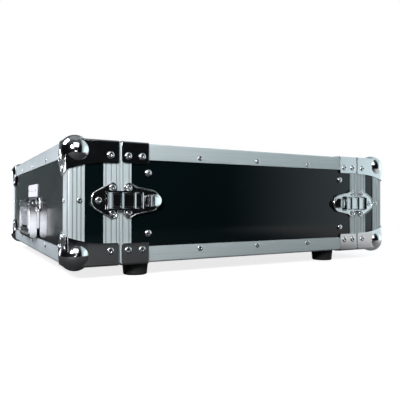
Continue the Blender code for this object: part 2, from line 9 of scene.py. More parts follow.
import bmesh
import bpy
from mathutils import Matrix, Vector


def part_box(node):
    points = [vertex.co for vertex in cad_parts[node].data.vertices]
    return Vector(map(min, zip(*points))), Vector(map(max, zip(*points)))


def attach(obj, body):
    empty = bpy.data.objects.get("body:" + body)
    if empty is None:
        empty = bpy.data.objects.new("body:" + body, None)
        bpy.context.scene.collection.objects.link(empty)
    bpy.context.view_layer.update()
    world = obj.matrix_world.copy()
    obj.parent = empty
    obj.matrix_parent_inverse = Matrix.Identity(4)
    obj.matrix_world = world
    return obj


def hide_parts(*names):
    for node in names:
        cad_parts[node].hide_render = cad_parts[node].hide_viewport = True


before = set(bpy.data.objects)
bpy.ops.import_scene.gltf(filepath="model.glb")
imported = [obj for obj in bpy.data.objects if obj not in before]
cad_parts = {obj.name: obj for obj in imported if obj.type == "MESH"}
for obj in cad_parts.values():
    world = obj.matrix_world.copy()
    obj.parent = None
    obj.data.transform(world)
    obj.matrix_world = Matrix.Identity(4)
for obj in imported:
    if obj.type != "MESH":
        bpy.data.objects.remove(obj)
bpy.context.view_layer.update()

ENDS = ("front", "rear")
SIDES = {"left": -1, "right": 1}
LEVELS = {"top": 1, "bottom": -1}
SEAM_HALF = 0.0004

# Places read from the frame.
VALANCE_LOW, VALANCE_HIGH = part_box("body_valance_front")
HALF_WIDTH = VALANCE_HIGH.x
Z_LOW = VALANCE_LOW.z
Z_HIGH = VALANCE_HIGH.z
Z_MID = (Z_LOW + Z_HIGH) / 2
HALF_HEIGHT = (Z_HIGH - Z_LOW) / 2
Y_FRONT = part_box("front_lid_edging")[0].y
Y_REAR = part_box("rear_lid_edging")[1].y
LID_DEPTH = {
    "front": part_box("front_lid_valance")[1].y + SEAM_HALF - Y_FRONT,
    "rear": Y_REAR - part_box("rear_lid_valance")[0].y + SEAM_HALF,
}
DEPTH = Y_REAR - Y_FRONT
LATCH_MIDDLE = {
    end: sum(corner.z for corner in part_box(f"latch_hook_{end}_right")) / 2 for end in ENDS
}

# Stock, as in the frame.
METAL = 0.0012
PLATE = 0.0012
PLY = 0.007
GAP = 0.0003
RECESS = METAL + GAP
PLATE_OUT = GAP + PLATE
ARRIS = 0.003
ARRIS_STEPS = 6
LEAST_ARRIS = 0.0005
CURVE_STEPS = 6
SHARP_ANGLE = 38
SOFTENED_ANGLE = 40

# How far each kind of piece has its sharp edges rounded.
SOFT = {
    "extrusion": 0.00018, "plate": 0.00035, "latch": 0.0003, "hook": 0.00025, "hinge": 0.0002,
    "bracket": 0.0004, "bail": 0.0009, "rail": 0.0003, "badge": 0.0003, "band": 0.00015,
    "bolt": 0.00012,
}

# Extrusions.
LEG = 0.022
LID_BAND = 0.0223
BODY_BAND = 0.0155
LIP_IN = RECESS + PLY + GAP
LIP_OUT = LIP_IN + METAL
LIP_LENGTH = 0.012
TONGUE_IN = LIP_OUT + 0.0004
TONGUE_OUT = TONGUE_IN + 0.0016
TONGUE_REACH = 0.0065
RIB_PITCH = 0.0062
GROOVE_HALF = 0.00115
GROOVE_SLOPE = 0.0004
GROOVE_DEPTH = 0.0005
EDGING_MARGIN = 0.0042
LID_MARGIN = 0.0034
BODY_MARGIN = 0.0030
# A face lies in a groove when its inset is past this share of the groove's depth, and on the
# inside when it is past this share of the metal's thickness.
NEARLY = 0.9
# The line near an edge extrusion's free edges: its depth, and how far it is from the edge.
EDGE_LINE = ((0.0, 0.0018), (GROOVE_DEPTH / 2, 0.0015), (0.0, 0.0012))
SEAM_GAP = 0.00012
SEAM_ROUND = 0.0010
SEAM_STEPS = 4

# Braces and ball corners.
BRACE_START = 0.0016
BRACE_LENGTH = 0.0387
BRACE_LEG = 0.0275
BRACE_ROUND = 0.0045
BRACE_RIVETS = (0.0106, 0.0302)
PLATE_RIVET_IN = 0.018
BALL_RADIUS = 0.0199
BALL_REACH = 0.0067
BALL_INSET = BALL_RADIUS - BALL_REACH
BALL_SEGMENTS = 72
BALL_RINGS = 36
BALL_LEG = 0.0285
BALL_FLARE = 0.0095
BALL_FLARE_LENGTH = 0.050
BALL_FLARE_STEPS = 12
BALL_SHORT = 0.0019
BALL_ROUND = 0.003
FLANGE_EDGE = 0.038
LOBE_NEAR = 0.022
LOBE_FAR = 0.036
LOBE_RADIUS = 0.009
LOBE_START = 110
LEG_RIVET = 0.0134

# Rack rails: 19-inch, three units.
UNIT = 0.04445
RACK_UNITS = 3
RACK_HALF_PITCH = 0.4651 / 2
RACK_HALF_CLEAR = 0.2255
RACK_HOLE_STEPS = (0.00635, 0.022225, 0.0381)
RACK_HOLE = 0.0034
RAIL_STEEL = 0.002
RAIL_DEPTH = 0.030
BOLT_PITCH = 0.0812

# Turned fasteners: the radius and the height of each profile point.
NUT = (
    (0.0050, 0.0), (0.0050, 0.0040), (0.0044, 0.0045), (0.0032, 0.0045), (0.0030, 0.0065),
    (0.0024, 0.0072), (0.0, 0.0072),
)
BOLT_HEAD = (
    (0.0049, 0.0), (0.0050, 0.0007), (0.0048, 0.0016), (0.0041, 0.0024), (0.0029, 0.0029),
    (0.0015, 0.0031), (0.0, 0.0031),
)
BOLT_SUNK = 0.0001
CROSS_LONG = 0.0026
CROSS_WIDE = 0.00055
CROSS_ROUND = 0.0003
CROSS_FLOOR = 0.0012
CROSS_OUT = 0.004
FOOT_SCREW = ((0.0038, 0.0049), (0.0036, 0.0036), (0.0024, 0.0028), (0.0, 0.0025))

# A foot: its recess, its wall out from the narrow radius, and its rim from the wide radius
# and the top.
FOOT_TAPER = 0.0015
FOOT_RECESS = (
    (0.0, 0.0048), (0.0042, 0.0048), (0.0046, 0.0044), (0.0050, 0.0006), (0.0058, 0.0),
)
FOOT_WALL = (
    (-0.0016, 0.0), (-0.0004, 0.0005), (0.0, 0.0016), (0.0004, 0.0055), (-0.0002, 0.0060),
    (0.0005, 0.0065),
)
FOOT_RIM = ((-0.0002, -0.0030), (0.0, -0.0012), (-0.0004, 0.0))

# A pop rivet's domed head, in shares of its radius and height, and the hole in it where its
# mandrel broke off, which starts at point RIVET_HOLE. The hole's wall and the mandrel's end take a
# near-black finish: the mandrel's own darker steel with painted shade in the hole.
RIVET_RISE = 0.32
RIVET_HEAD = (
    (1.0, 0.0), (1.0, 0.30), (0.95, 0.60), (0.80, 0.88), (0.58, 1.0), (0.38, 0.96),
    (0.32, 0.80), (0.30, 0.45), (0.0, 0.35),
)
RIVET_HOLE = 6

# Rivets: the radii of the sizes, and where they stand.
BIG_RIVET = 0.0048
LATCH_RIVET = BIG_RIVET - 0.0003
SMALL_RIVET = 0.0038
EDGE_RIVET_IN = 0.0157
LID_RIVET_IN = 0.0165
LID_RIVET_X = 0.123
BODY_RIVET_PITCH = 0.1006
BODY_RIVET_MIDDLE = 0.2882
BRACKET_RIVET_IN = 0.0105

# Latches, from the seam along the case, from its middle and from its face.
LOBE_HALF = 0.0166
LATCH_LOBE = 0.0072
RIM_RADIUS = 0.0010
RIM_LOW = 0.0014
RIM_STEPS = 8
LATCH_EDGE = 0.0012
LATCH_WAIST = 0.0115
KEEPER_LOBE = -0.0109
KEEPER_END = -0.0246
KEEPER_END_RADIUS = 0.0150
KEEPER_RIVET = -0.0290
KEEPER_TANGENT = 125
TABLE_LOW = (-0.0195, -0.0098)
TABLE_HIGH = (-0.0028, 0.0098)
TABLE_ROUND = 0.0015
TABLE_SLOPE = 0.0012
TABLE_TOP = 0.0029
CATCH = (-0.0150, -0.0115)
CATCH_HALF = 0.009
CATCH_TOP = 0.0041
CATCH_ROUND = 0.0006
PLATE_LOBE = 0.0115
PLATE_WAIST = ((0.0225, 0.0186), (0.030, 0.0174))
PLATE_END = 0.0415
PLATE_END_RADIUS = 0.0150
PLATE_LOBE_TANGENT = 65
PLATE_END_TANGENT = 75
GUIDE = (0.0030, 0.0300)
GUIDE_OUT = 0.0117
GUIDE_HALF = 0.0011
GUIDE_ROUND = 0.0008
HOOK = (-0.0186, 0.0305)
HOOK_HALF = 0.0125
HOOK_ROUND = 0.0016
HOOK_LOW = 0.0046
HOOK_HIGH = 0.0066
HOOK_FLOOR = 0.0054
HOOK_POCKETS = ((-0.0114, -0.0009), (0.0036, 0.0169), (0.0202, 0.0287))
HOOK_POCKET_HALF = 0.0085
POCKET_ROUND = 0.0009
POCKET_SLOPE = 0.0005
POCKET_LIP = 0.0004
# The hook's cross ribs: where each starts, peaks and stops, and how far it rises.
HOOK_RIBS = (
    (-0.0184, -0.0172, -0.0118, 0.0017),
    (-0.0009, 0.0002, 0.0034, 0.0010),
    (0.0169, 0.0174, 0.0202, 0.0009),
    (0.0285, 0.0289, 0.0303, 0.0005),
)
RIB_HALF = 0.0103
RIB_CHAMFER = 0.0002
RIB_CREST = 0.0004
HUB = 0.040
HUB_RADIUS = 0.008
HUB_TOP = 0.0050
HUB_FOOT_CHAMFER = 0.0004
HUB_TOP_CHAMFER = 0.0007
WING_PIVOT = 0.0075
WING_PIN = 0.0009
WING_PIN_HEAD = 0.0004
WING_BORE = 0.0012
WING_BARREL = 0.0019
WING_REACH = 0.0172
WING_HALF = 0.0085
WING_NECK = 0.0031
WING_NECK_HALF = 0.0048
WING_NECK_INTO = 0.0030
WING_NECK_DOWN = 0.0003
WING_NECK_ROUND = 0.0004
WING_CORNER = 0.0012
# The leaf's box runs on past the middle of its round end by this much before it is cut there.
WING_BOX_PAST = 0.001
WING_LOW = 0.0070
WING_HIGH = 0.0084
WING_DROOP = 0.0032
WING_BEND = 0.0455
WING_ROUND = 0.0009
WING_ROUND_STEPS = 4
HUB_EAR = (0.0053, 0.0075)
HUB_EAR_HALF = 0.002

# Handle and badge, heights above the case's lower edge.
HANDLE_CENTRE = -0.0075
PIVOT_HEIGHT = 0.079
PIVOT_OUT = 0.0080
GRIP_HEIGHT = 0.028
BAR_RADIUS = 0.0060
BAR_CORE = 0.0052
GRIP_RADIUS = 0.0070
GRIP_SHORT = 0.0008
GRIP_BORE = 0.0056
GRIP_CHAMFER = (0.0008, 0.0012)
GRIP_PITCH = 0.0060
GRIP_PLAIN = 0.020
GRIP_GROOVE_TOP = 0.0011
GRIP_GROOVE_FLOOR = 0.0006
ARM_IN = 0.0515
ARM_OUT = 0.0585
ARM_TOP_RADIUS = 0.0057
EAR = 0.003
EAR_GAP = 0.0005
EAR_LOW = 0.068
EAR_HIGH = 0.0895
EAR_REACH = 0.015
BRACKET_HALF = 0.085
BRACKET_LOW = 0.066
BRACKET_THICK = 0.0015
BRACKET_EDGE = 0.0008
BRACKET_SLOPE = 0.0016
HANDLE_PIN = 0.0020
HANDLE_PIN_HEAD = 0.0006
HANDLE_BORE = 0.0024
BADGE_HALF = 0.0485
BADGE_LOW = 0.0905
BADGE_HIGH = 0.1115
BADGE_THICK = 0.001
BADGE_ROUND = 0.0012
BAND_INSET = (0.004, 0.012)
BAND_HEIGHTS = (0.0088, 0.0122)
BAND_ROUND = 0.0010
BAND_SUNK = 0.0001
BAND_THICK = 0.0004

# Camera.
CAMERA_PLACE = (0.83733, Y_FRONT - 0.12670, 0.09813)
CAMERA_YAW = 61.244
CAMERA_PITCH = 0.39
CAMERA_ROLL = 0.108
CAMERA_LENS = 41.07
SENSOR = 36.0
CLIP_START = 0.01

# The room: base brightness, then (direction, dot product where it starts and is full, strength).
DARK_ROOM = 0.006
SEEN_ROOM = 1.0
ROOM_TINT = (0.80, 0.96, 1.0, 1.0)
PLAIN_WHITE = (1.0, 1.0, 1.0, 1.0)


def azimuth(degrees):
    return (math.cos(math.radians(degrees)), math.sin(math.radians(degrees)), 0.0)


ROOM_LIGHTS = (
    (azimuth(100), 0.36, 0.64, 0.80),
    (azimuth(78), 0.84, 0.96, 0.60),
    ((0.0, 0.0, 1.0), 0.45, 0.90, 0.10),
    ((-1.0, 0.0, 0.0), 0.40, 0.95, 0.13),
)
FLOOR_DIM = 0.014
FLOOR_GLOW = 0.80
# How bright the floor's far part is in reflections, and between which two Y it fades in.
FLOOR_FAR_GLOW = 0.60
FLOOR_FADE = (0.15, 0.50)
FLOOR_LOW = (-0.60, -0.62)
FLOOR_HIGH = (0.74, 0.80)
FLOOR_Z = -0.0002
FLOOR_SEEN = 0.5
FLOOR_ROUGH = 0.9
# Soft boxes: name, place, what they aim at, size, power in watts, colour.
WHITE = (1.0, 1.0, 1.0)
COOL = (0.93, 0.94, 1.0)
SOFT_BOXES = (
    ("key", (1.7, -0.35, 1.25), (0.2, 0.0, 0.1), (1.1, 1.1), 9.0, WHITE),
    ("left", (-0.25, -1.3, 1.3), (0.0, -0.28, 0.1), (0.9, 0.9), 13.0, COOL),
    ("back_left", (-1.25, -1.0, 0.10), (0.0, -0.28, 0.1), (0.6, 0.5), 4.5, COOL),
    ("top", (-0.2, -0.2, 2.0), (0.0, 0.0, 0.1), (1.6, 1.6), 1.5, WHITE),
    ("near", (0.75, -0.62, 0.40), (0.26, -0.25, 0.1), (0.18, 0.18), 5.0, WHITE),
    ("low_strip", (-1.03, -0.447, 0.014), (0.14, -0.28, 0.05), (0.075, 0.12), 0.055, COOL),
    ("window", (1.22, -0.447, -0.005), (0.10, -0.28, 0.05), (0.16, 0.12), 0.18, COOL),
    ("glint", (0.62, -0.283, 0.10), (0.28, -0.19, 0.10), (0.06, 0.06), 0.014, COOL),
)


# ---------------------------------------------------------------- materials


LONG_GRAIN = (14, 1900, 14)
CROSS_GRAIN = (1900, 14, 1900)
BADGE_GRAIN = (16, 400, 2400)
ALUMINIUM = ((0.50, 0.575, 0.60), (0.64, 0.71, 0.73), 0.4, (0.52, 0.62))
# Each finish: dark and light colour, metallic, roughness range, scale of its grain along each
# axis, scale of its blotches, strength and depth of its bumps.
FINISHES = {
    "frame_aluminium": (*ALUMINIUM, LONG_GRAIN, 22, 0.25, 0.00004),
    # The groove floors' finish: a darker copy of the aluminium, painted shade in the grooves.
    "groove_shade_aluminium": ((0.27, 0.31, 0.325), (0.37, 0.41, 0.43), 0.5, (0.48, 0.58),
                         LONG_GRAIN, 22, 0.25, 0.00004),
    "edge_aluminium": (*ALUMINIUM, CROSS_GRAIN, 22, 0.25, 0.00004),
    "chrome": ((0.74, 0.75, 0.77), (0.80, 0.81, 0.82), 1.0, (0.05, 0.13),
               (420,) * 3, 55, 0.12, 0.00003),
    "rivet": ((0.66, 0.67, 0.70), (0.80, 0.81, 0.83), 1.0, (0.16, 0.30),
              (900,) * 3, 300, 0.15, 0.00003),
    # The rivets' hole finish is near black: the mandrel's own darker steel with painted shade in
    # the hole.
    "mandrel_hole_shade": ((0.05, 0.05, 0.055), (0.12, 0.12, 0.13), 0.9, (0.40, 0.60),
                (1500,) * 3, 300, 0.3, 0.0001),
    "laminate": ((0.0012, 0.0040, 0.0048), (0.0020, 0.0056, 0.0066), 0.0, (0.07, 0.12),
                 (2600,) * 3, 30, 0.06, 0.00003),
    "plywood": ((0.050, 0.034, 0.020), (0.115, 0.080, 0.048), 0.0, (0.55, 0.75),
                (30, 30, 900), 16, 0.35, 0.0002),
    "rail_zinc": ((0.020, 0.020, 0.022), (0.045, 0.045, 0.049), 0.7, (0.32, 0.48),
                  (700,) * 3, 60, 0.2, 0.00004),
    "rubber": ((0.010, 0.010, 0.011), (0.024, 0.024, 0.026), 0.0, (0.62, 0.82),
               (1300,) * 3, 90, 0.45, 0.0002),
    "grip": ((0.014, 0.015, 0.017), (0.028, 0.030, 0.033), 0.0, (0.38, 0.52),
             (1700,) * 3, 120, 0.35, 0.00015),
    "badge_satin": ((0.47, 0.46, 0.52), (0.60, 0.59, 0.65), 1.0, (0.34, 0.46),
                    BADGE_GRAIN, 40, 0.2, 0.00003),
    "badge_bright": ((0.86, 0.86, 0.88), (0.92, 0.92, 0.93), 1.0, (0.22, 0.30),
                     BADGE_GRAIN, 40, 0.15, 0.00003),
}
# Scuffs on a finish: their scale, how rare they are, their colour and roughness.
SCUFFS = {
    "frame_aluminium": (160, 0.66, (0.46, 0.48, 0.51), 0.55),
    "edge_aluminium": (160, 0.66, (0.46, 0.48, 0.51), 0.55),
    "laminate": (110, 0.70, (0.030, 0.033, 0.035), 0.42),
    "rubber": (140, 0.64, (0.060, 0.058, 0.055), 0.9),
}
SCUFF_EDGE = 0.06
# A Mix node's two inputs and its output, which depend on what it mixes.
MIX_SOCKETS = {"RGBA": (6, 7, 2), "FLOAT": (2, 3, 0)}


def plug(tree, socket, value):
    """Gives an input a value, or links another node's socket to it."""
    if isinstance(value, bpy.types.NodeSocket):
        tree.links.new(value, socket)
    else:
        socket.default_value = value


def add(tree, kind, settings=None, **inputs):
    """A new shader node with its settings; an input is a value or another node's socket."""
    made = tree.nodes.new("ShaderNode" + kind)
    for key, value in (settings or {}).items():
        setattr(made, key, value)
    for key, value in inputs.items():
        plug(tree, made.inputs[key.replace("_", " ")], value)
    return made


def maths(tree, operation, first, second):
    made = add(tree, "Math", {"operation": operation})
    plug(tree, made.inputs[0], first)
    plug(tree, made.inputs[1], second)
    return made.outputs["Value"]


def mix(tree, kind, share, first, second):
    """Runs from a first value or colour to a second one."""
    made = add(tree, "Mix", {"data_type": kind})
    slot, other_slot, result = MIX_SOCKETS[kind]
    plug(tree, made.inputs[0], share)
    plug(tree, made.inputs[slot], first)
    plug(tree, made.inputs[other_slot], second)
    return made.outputs[result]


def noise(tree, scale, detail=4.0, roughness=0.6):
    """Noise in the object's own metres, stretched by a scale along each axis."""
    place = add(tree, "TexCoord")
    mapping = add(tree, "Mapping", Vector=place.outputs["Object"], Scale=scale)
    made = add(tree, "TexNoise", Vector=mapping.outputs["Vector"], Scale=1.0, Detail=detail,
               Roughness=roughness)
    return made.outputs["Fac"]


def spread(tree, value, low, high, start=0.3, stop=0.7):
    made = add(tree, "MapRange", Value=value, From_Min=start, From_Max=stop, To_Min=low,
               To_Max=high)
    return made.outputs["Result"]


def ramp(tree, value, *stops):
    """A colour that runs through (position, colour) stops."""
    made = add(tree, "ValToRGB", Fac=value)
    elements = made.color_ramp.elements
    while len(elements) < len(stops):
        elements.new(0.5)
    for element, (position, colour) in zip(elements, stops):
        element.position = position
        element.color = (*colour, 1.0)
    return made.outputs["Color"]


def surface(name, dark, light, metallic, rough, grain, blotch, bump, distance):
    """A material with fine grain in its colour and bump and slow blotches in its roughness."""
    made = bpy.data.materials.new(name)
    made.use_nodes = True
    tree = made.node_tree
    shader = tree.nodes["Principled BSDF"]
    fine = noise(tree, grain)
    slow = noise(tree, (blotch,) * 3, detail=5.0, roughness=0.65)
    tree.links.new(ramp(tree, fine, (0.25, dark), (0.75, light)), shader.inputs["Base Color"])
    tree.links.new(spread(tree, slow, *rough), shader.inputs["Roughness"])
    relief = add(tree, "Bump", Height=fine, Strength=bump, Distance=distance)
    tree.links.new(relief.outputs["Normal"], shader.inputs["Normal"])
    shader.inputs["Metallic"].default_value = metallic
    return made


def worn_surface(made, scale, threshold, colour, rough):
    """Adds small scuffs of another colour and roughness to a finished material."""
    tree = made.node_tree
    shader = tree.nodes["Principled BSDF"]
    speckle = noise(tree, (scale,) * 3, detail=8.0, roughness=0.75)
    mask = spread(tree, speckle, 0.0, 1.0, threshold, threshold + SCUFF_EDGE)
    for kind, key, value in (("RGBA", "Base Color", (*colour, 1.0)), ("FLOAT", "Roughness", rough)):
        socket = shader.inputs[key]
        tree.links.new(mix(tree, kind, mask, socket.links[0].from_socket, value), socket)


def make_materials():
    """Every finish of the case, by name."""
    made = {name: surface(name, *settings) for name, settings in FINISHES.items()}
    for name, settings in SCUFFS.items():
        worn_surface(made[name], *settings)
    return made


FINISH = make_materials()


# ---------------------------------------------------------------- mesh tools


def bridge(sections, closed=False):
    """A solid through equal loops of points: a ring if closed, else capped at both ends."""
    shape = bmesh.new()
    loops = [[shape.verts.new(point) for point in section] for section in sections]
    pairs = list(zip(loops, loops[1:]))
    if closed:
        pairs.append((loops[-1], loops[0]))
    else:
        shape.faces.new(loops[0])
        shape.faces.new(loops[-1])
    for first, second in pairs:
        for i, corner in enumerate(first):
            following = (i + 1) % len(first)
            shape.faces.new((corner, first[following], second[following], second[i]))
    return shape


def prism(outline, place, low, high):
    """A solid of one outline, from low to high along the place's third direction."""
    return bridge([[place(a, b, c) for a, b in outline] for c in (low, high)])


def stepped(place, *levels):
    """A solid through outlines that each lie at one height."""
    return bridge([[place(a, b, c) for a, b in outline] for outline, c in levels])


def turned(place):
    """A place with its last two directions swapped, for outlines seen from the side."""

    def seen_from_side(u, w, v):
        return place(u, v, w)

    return seen_from_side


def world_place(x, y, z):
    return Vector((x, y, z))


def arc(centre, radius, start, stop, steps):
    angles = [math.radians(start + (stop - start) * i / steps) for i in range(steps + 1)]
    return [(centre[0] + radius * math.cos(a), centre[1] + radius * math.sin(a)) for a in angles]


def circle(centre, radius, steps):
    return arc(centre, radius, 0, 360 - 360 / steps, steps - 1)


def rounded_box(low, high, radius, steps=4):
    """A flat rectangle's outline with round corners, between two (a, b) corners."""
    (a0, b0), (a1, b1) = low, high
    points = []
    for turn, centre in enumerate(((a1 - radius, b1 - radius), (a0 + radius, b1 - radius),
                                   (a0 + radius, b0 + radius), (a1 - radius, b0 + radius))):
        points += arc(centre, radius, 90 * turn, 90 * turn + 90, steps)
    return points


def inset_outline(points, distance):
    """An outline moved inwards by a distance, along the bisector at each of its points."""
    area = sum(a[0] * b[1] - b[0] * a[1] for a, b in zip(points, points[1:] + points[:1]))
    turn = 1 if area > 0 else -1
    moved = []
    for i, point in enumerate(points):
        before, after = Vector(points[i - 1]), Vector(points[(i + 1) % len(points)])
        here = Vector(point)
        along = ((here - before).normalized() + (after - here).normalized()).normalized()
        moved.append((point[0] - turn * along.y * distance, point[1] + turn * along.x * distance))
    return moved


def mirrored(points):
    """An outline's upper half, given from left to right, closed by its mirror image below."""
    return points + [(u, -v) for u, v in reversed(points) if v > GAP]


def make(name, shape, finishes):
    """An object from a bmesh in the frame's own place, smooth except at its sharp edges."""
    bmesh.ops.recalc_face_normals(shape, faces=shape.faces)
    mesh = bpy.data.meshes.new(name)
    shape.to_mesh(mesh)
    shape.free()
    for finish in [finishes] if isinstance(finishes, str) else finishes:
        mesh.materials.append(FINISH[finish])
    made = bpy.data.objects.new(name, mesh)
    bpy.context.scene.collection.objects.link(made)
    smooth(made)
    return made


def smooth(piece):
    piece.data.shade_smooth()
    piece.data.set_sharp_from_angle(angle=math.radians(SHARP_ANGLE))


def combine(base, tools, operation):
    """Joins the tools to the base, or cuts them from it, and removes them."""
    for tool in tools:
        step = base.modifiers.new(tool.name, "BOOLEAN")
        step.operation = operation
        step.object = tool
    depsgraph = bpy.context.evaluated_depsgraph_get()
    mesh = bpy.data.meshes.new_from_object(base.evaluated_get(depsgraph))
    mesh.name = base.name
    base.modifiers.clear()
    base.data = mesh
    for tool in tools:
        bpy.data.objects.remove(tool)
    smooth(base)
    return base


def soften(piece, width, segments=2):
    """Rounds a piece's sharp edges."""
    step = piece.modifiers.new("soft_edges", "BEVEL")
    step.width = width
    step.segments = segments
    step.limit_method = "ANGLE"
    step.angle_limit = math.radians(SOFTENED_ANGLE)
    step.harden_normals = True
    return piece


def stand_for(piece, body, *nodes):
    """The piece rides on a body and is shown in place of CAD nodes."""
    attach(piece, body)
    for node in nodes:
        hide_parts(node)
    return piece


def hardware(piece, softness, body, node):
    """A chromed piece with softened edges, in place of one CAD node."""
    return stand_for(soften(piece, SOFT[softness]), body, node)


def lathe(shape, profile, centre, axis, steps=20, dark_from=None):
    """Adds a turned solid to a bmesh. Faces from profile point dark_from on take material 1."""
    axis = Vector(axis).normalized()
    across = axis.orthogonal().normalized()
    third = axis.cross(across)
    rings = []
    for radius, height in profile:
        middle = Vector(centre) + axis * height
        if radius == 0.0:
            rings.append([shape.verts.new(middle)])
            continue
        turns = [2 * math.pi * i / steps for i in range(steps)]
        rings.append([
            shape.verts.new(middle + (across * math.cos(t) + third * math.sin(t)) * radius)
            for t in turns
        ])
    if len(rings[0]) > 1:
        shape.faces.new(rings[0])
    if len(rings[-1]) > 1:
        shape.faces.new(rings[-1])
    for index, (first, second) in enumerate(zip(rings, rings[1:])):
        for i in range(steps):
            following = (i + 1) % steps
            corners = [first[i % len(first)], first[following % len(first)],
                       second[following % len(second)], second[i % len(second)]]
            face = shape.faces.new(list(dict.fromkeys(corners)))
            if dark_from is not None and index >= dark_from:
                face.material_index = 1


def rivet_profile(radius):
    tall = radius * RIVET_RISE
    return [(radius * out, tall * up) for out, up in RIVET_HEAD]


def rivets(name, body, places):
    """One piece that holds all of a body's rivets: places are (point, outward, radius)."""
    shape = bmesh.new()
    for point, outward, radius in places:
        # Faces in the hole take the near-black finish: painted shade in the hole over the mandrel's
        # steel.
        lathe(shape, rivet_profile(radius), point, outward, dark_from=RIVET_HOLE)
    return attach(make(name, shape, ["rivet", "mandrel_hole_shade"]), body)


# ---------------------------------------------------------------- places on the case


def end_y(end, distance):
    return Y_FRONT + distance if end == "front" else Y_REAR - distance


def outward_y(end):
    return Vector((0, -1 if end == "front" else 1, 0))


def edge_place(side, level):
    """Maps (inset from the side, inset from the top or bottom, Y) to a point."""
    sign_x, sign_z = SIDES[side], LEVELS[level]

    def place(a, c, y):
        return Vector((sign_x * (HALF_WIDTH - a), y, Z_MID + sign_z * (HALF_HEIGHT - c)))

    return place


def latch_place(end, side):
    """Maps (along the case from the seam, height from the middle, out of the face) to a point."""
    sign = SIDES[side]

    def place(u, v, w):
        return Vector((sign * (HALF_WIDTH + w), end_y(end, LID_DEPTH[end] + u),
                       LATCH_MIDDLE[end] + v))

    return place


def panel_place(x, z, out):
    """Maps a place on the front lid's panel and a distance out of it to a point."""
    return Vector((x, Y_FRONT + RECESS - out, Z_LOW + z))


def rounded_rectangle(inset, y):
    """A loop round the case at an inset from its faces, with the case's rounded arris."""
    radius = max(ARRIS - inset, LEAST_ARRIS)
    half_x = HALF_WIDTH - inset - radius
    half_z = HALF_HEIGHT - inset - radius
    points = []
    for turn, (sign_x, sign_z) in enumerate(((1, 1), (-1, 1), (-1, -1), (1, -1))):
        centre = (sign_x * half_x, Z_MID + sign_z * half_z)
        points += arc(centre, radius, 90 * turn, 90 * turn + 90, ARRIS_STEPS)
    return [Vector((x, y, z)) for x, z in points]


# ---------------------------------------------------------------- extrusions and shells


def ribbed(start, stop, margin):
    """Section points along an outer face from start to stop, with a groove at every rib."""
    points = [(0.0, start)]
    count = int((stop - start - 2 * margin) / RIB_PITCH + 0.5)
    pitch = (stop - start - 2 * margin) / count
    for i in range(count + 1):
        middle = start + margin + i * pitch
        points += [
            (0.0, middle - GROOVE_HALF),
            (GROOVE_DEPTH, middle - GROOVE_HALF + GROOVE_SLOPE),
            (GROOVE_DEPTH, middle + GROOVE_HALF - GROOVE_SLOPE),
            (0.0, middle + GROOVE_HALF),
        ]
    return points + [(0.0, stop)]


def arris_bend(outer=0.0):
    """The rounded arris of an angle's section, as insets from the two faces it joins."""
    return [(ARRIS - a - outer, ARRIS - b - outer)
            for a, b in arc((0, 0), ARRIS, 0, 90, ARRIS_STEPS)]


def corner_place(end, side, level):
    """Maps insets from a corner's side, its top or bottom and its end to a point."""
    place_edge = edge_place(side, level)

    def place(a, c, b):
        return place_edge(a, c, end_y(end, b))

    return place


def ball(place, radius):
    shape = bmesh.new()
    bmesh.ops.create_uvsphere(shape, u_segments=BALL_SEGMENTS, v_segments=BALL_RINGS,
                              radius=radius)
    bmesh.ops.translate(shape, verts=shape.verts, vec=place(BALL_INSET, BALL_INSET, BALL_INSET))
    return make("ball", shape, "chrome")


def corner_cube(place, low, high):
    square = ((low, low), (high, low), (high, high), (low, high))
    return prism(square, place, low, high)


def nip(place, radius):
    """The tip of a corner that lies outside a sphere about its ball's centre."""
    tip = make("nip", corner_cube(place, -2 * BALL_REACH, BALL_INSET), "chrome")
    return combine(tip, [ball(place, radius)], "DIFFERENCE")


def nip_corners(piece, end):
    """Cuts the four corners off a lid's piece, to fit inside the ball corners."""
    radius = BALL_RADIUS - PLATE - GAP
    places = [corner_place(end, side, level) for side in SIDES for level in LEVELS]
    return combine(piece, [nip(place, radius) for place in places], "DIFFERENCE")


def ring(name, section, end, body, node):
    """An extrusion mitred round one end of the case, with painted shade in its grooves."""
    loops = [rounded_rectangle(inset, end_y(end, distance)) for inset, distance in section]
    shape = bridge(loops, closed=True)
    for face in shape.faces:
        middle = face.calc_center_median()
        inset = min(HALF_WIDTH - abs(middle.x), HALF_HEIGHT - abs(middle.z - Z_MID),
                    abs(middle.y - end_y(end, 0.0)))
        # Groove floors take the darker finish: painted shade in the grooves.
        face.material_index = 1 if NEARLY * GROOVE_DEPTH < inset < NEARLY * METAL else 0
    piece = make(name, shape, ["frame_aluminium", "groove_shade_aluminium"])
    if node.endswith("edging"):
        nip_corners(piece, end)
    return stand_for(soften(piece, SOFT["extrusion"], 1), body, node)


def lid_extrusions(end):
    body = f"{end}_lid"
    edging = list(reversed(ribbed(ARRIS, LEG, EDGING_MARGIN)))[:-1]
    edging += arris_bend()
    edging += [(LEG, 0.0), (LEG, METAL), (METAL, METAL), (METAL, LEG)]
    ring(f"edging_{end}", edging, end, body, f"{end}_lid_edging")
    seam = LID_DEPTH[end] - SEAM_GAP
    start = LID_DEPTH[end] - LID_BAND
    valance = ribbed(start, seam - SEAM_ROUND, LID_MARGIN)
    valance += arc((SEAM_ROUND, seam - SEAM_ROUND), SEAM_ROUND, 180, 90, SEAM_STEPS)[1:]
    valance += [
        (LIP_OUT, seam), (LIP_OUT, seam - LIP_LENGTH), (LIP_IN, seam - LIP_LENGTH),
        (LIP_IN, seam - METAL), (METAL, seam - METAL), (METAL, start),
    ]
    ring(f"lid_valance_{end}", valance, end, body, f"{end}_lid_valance")


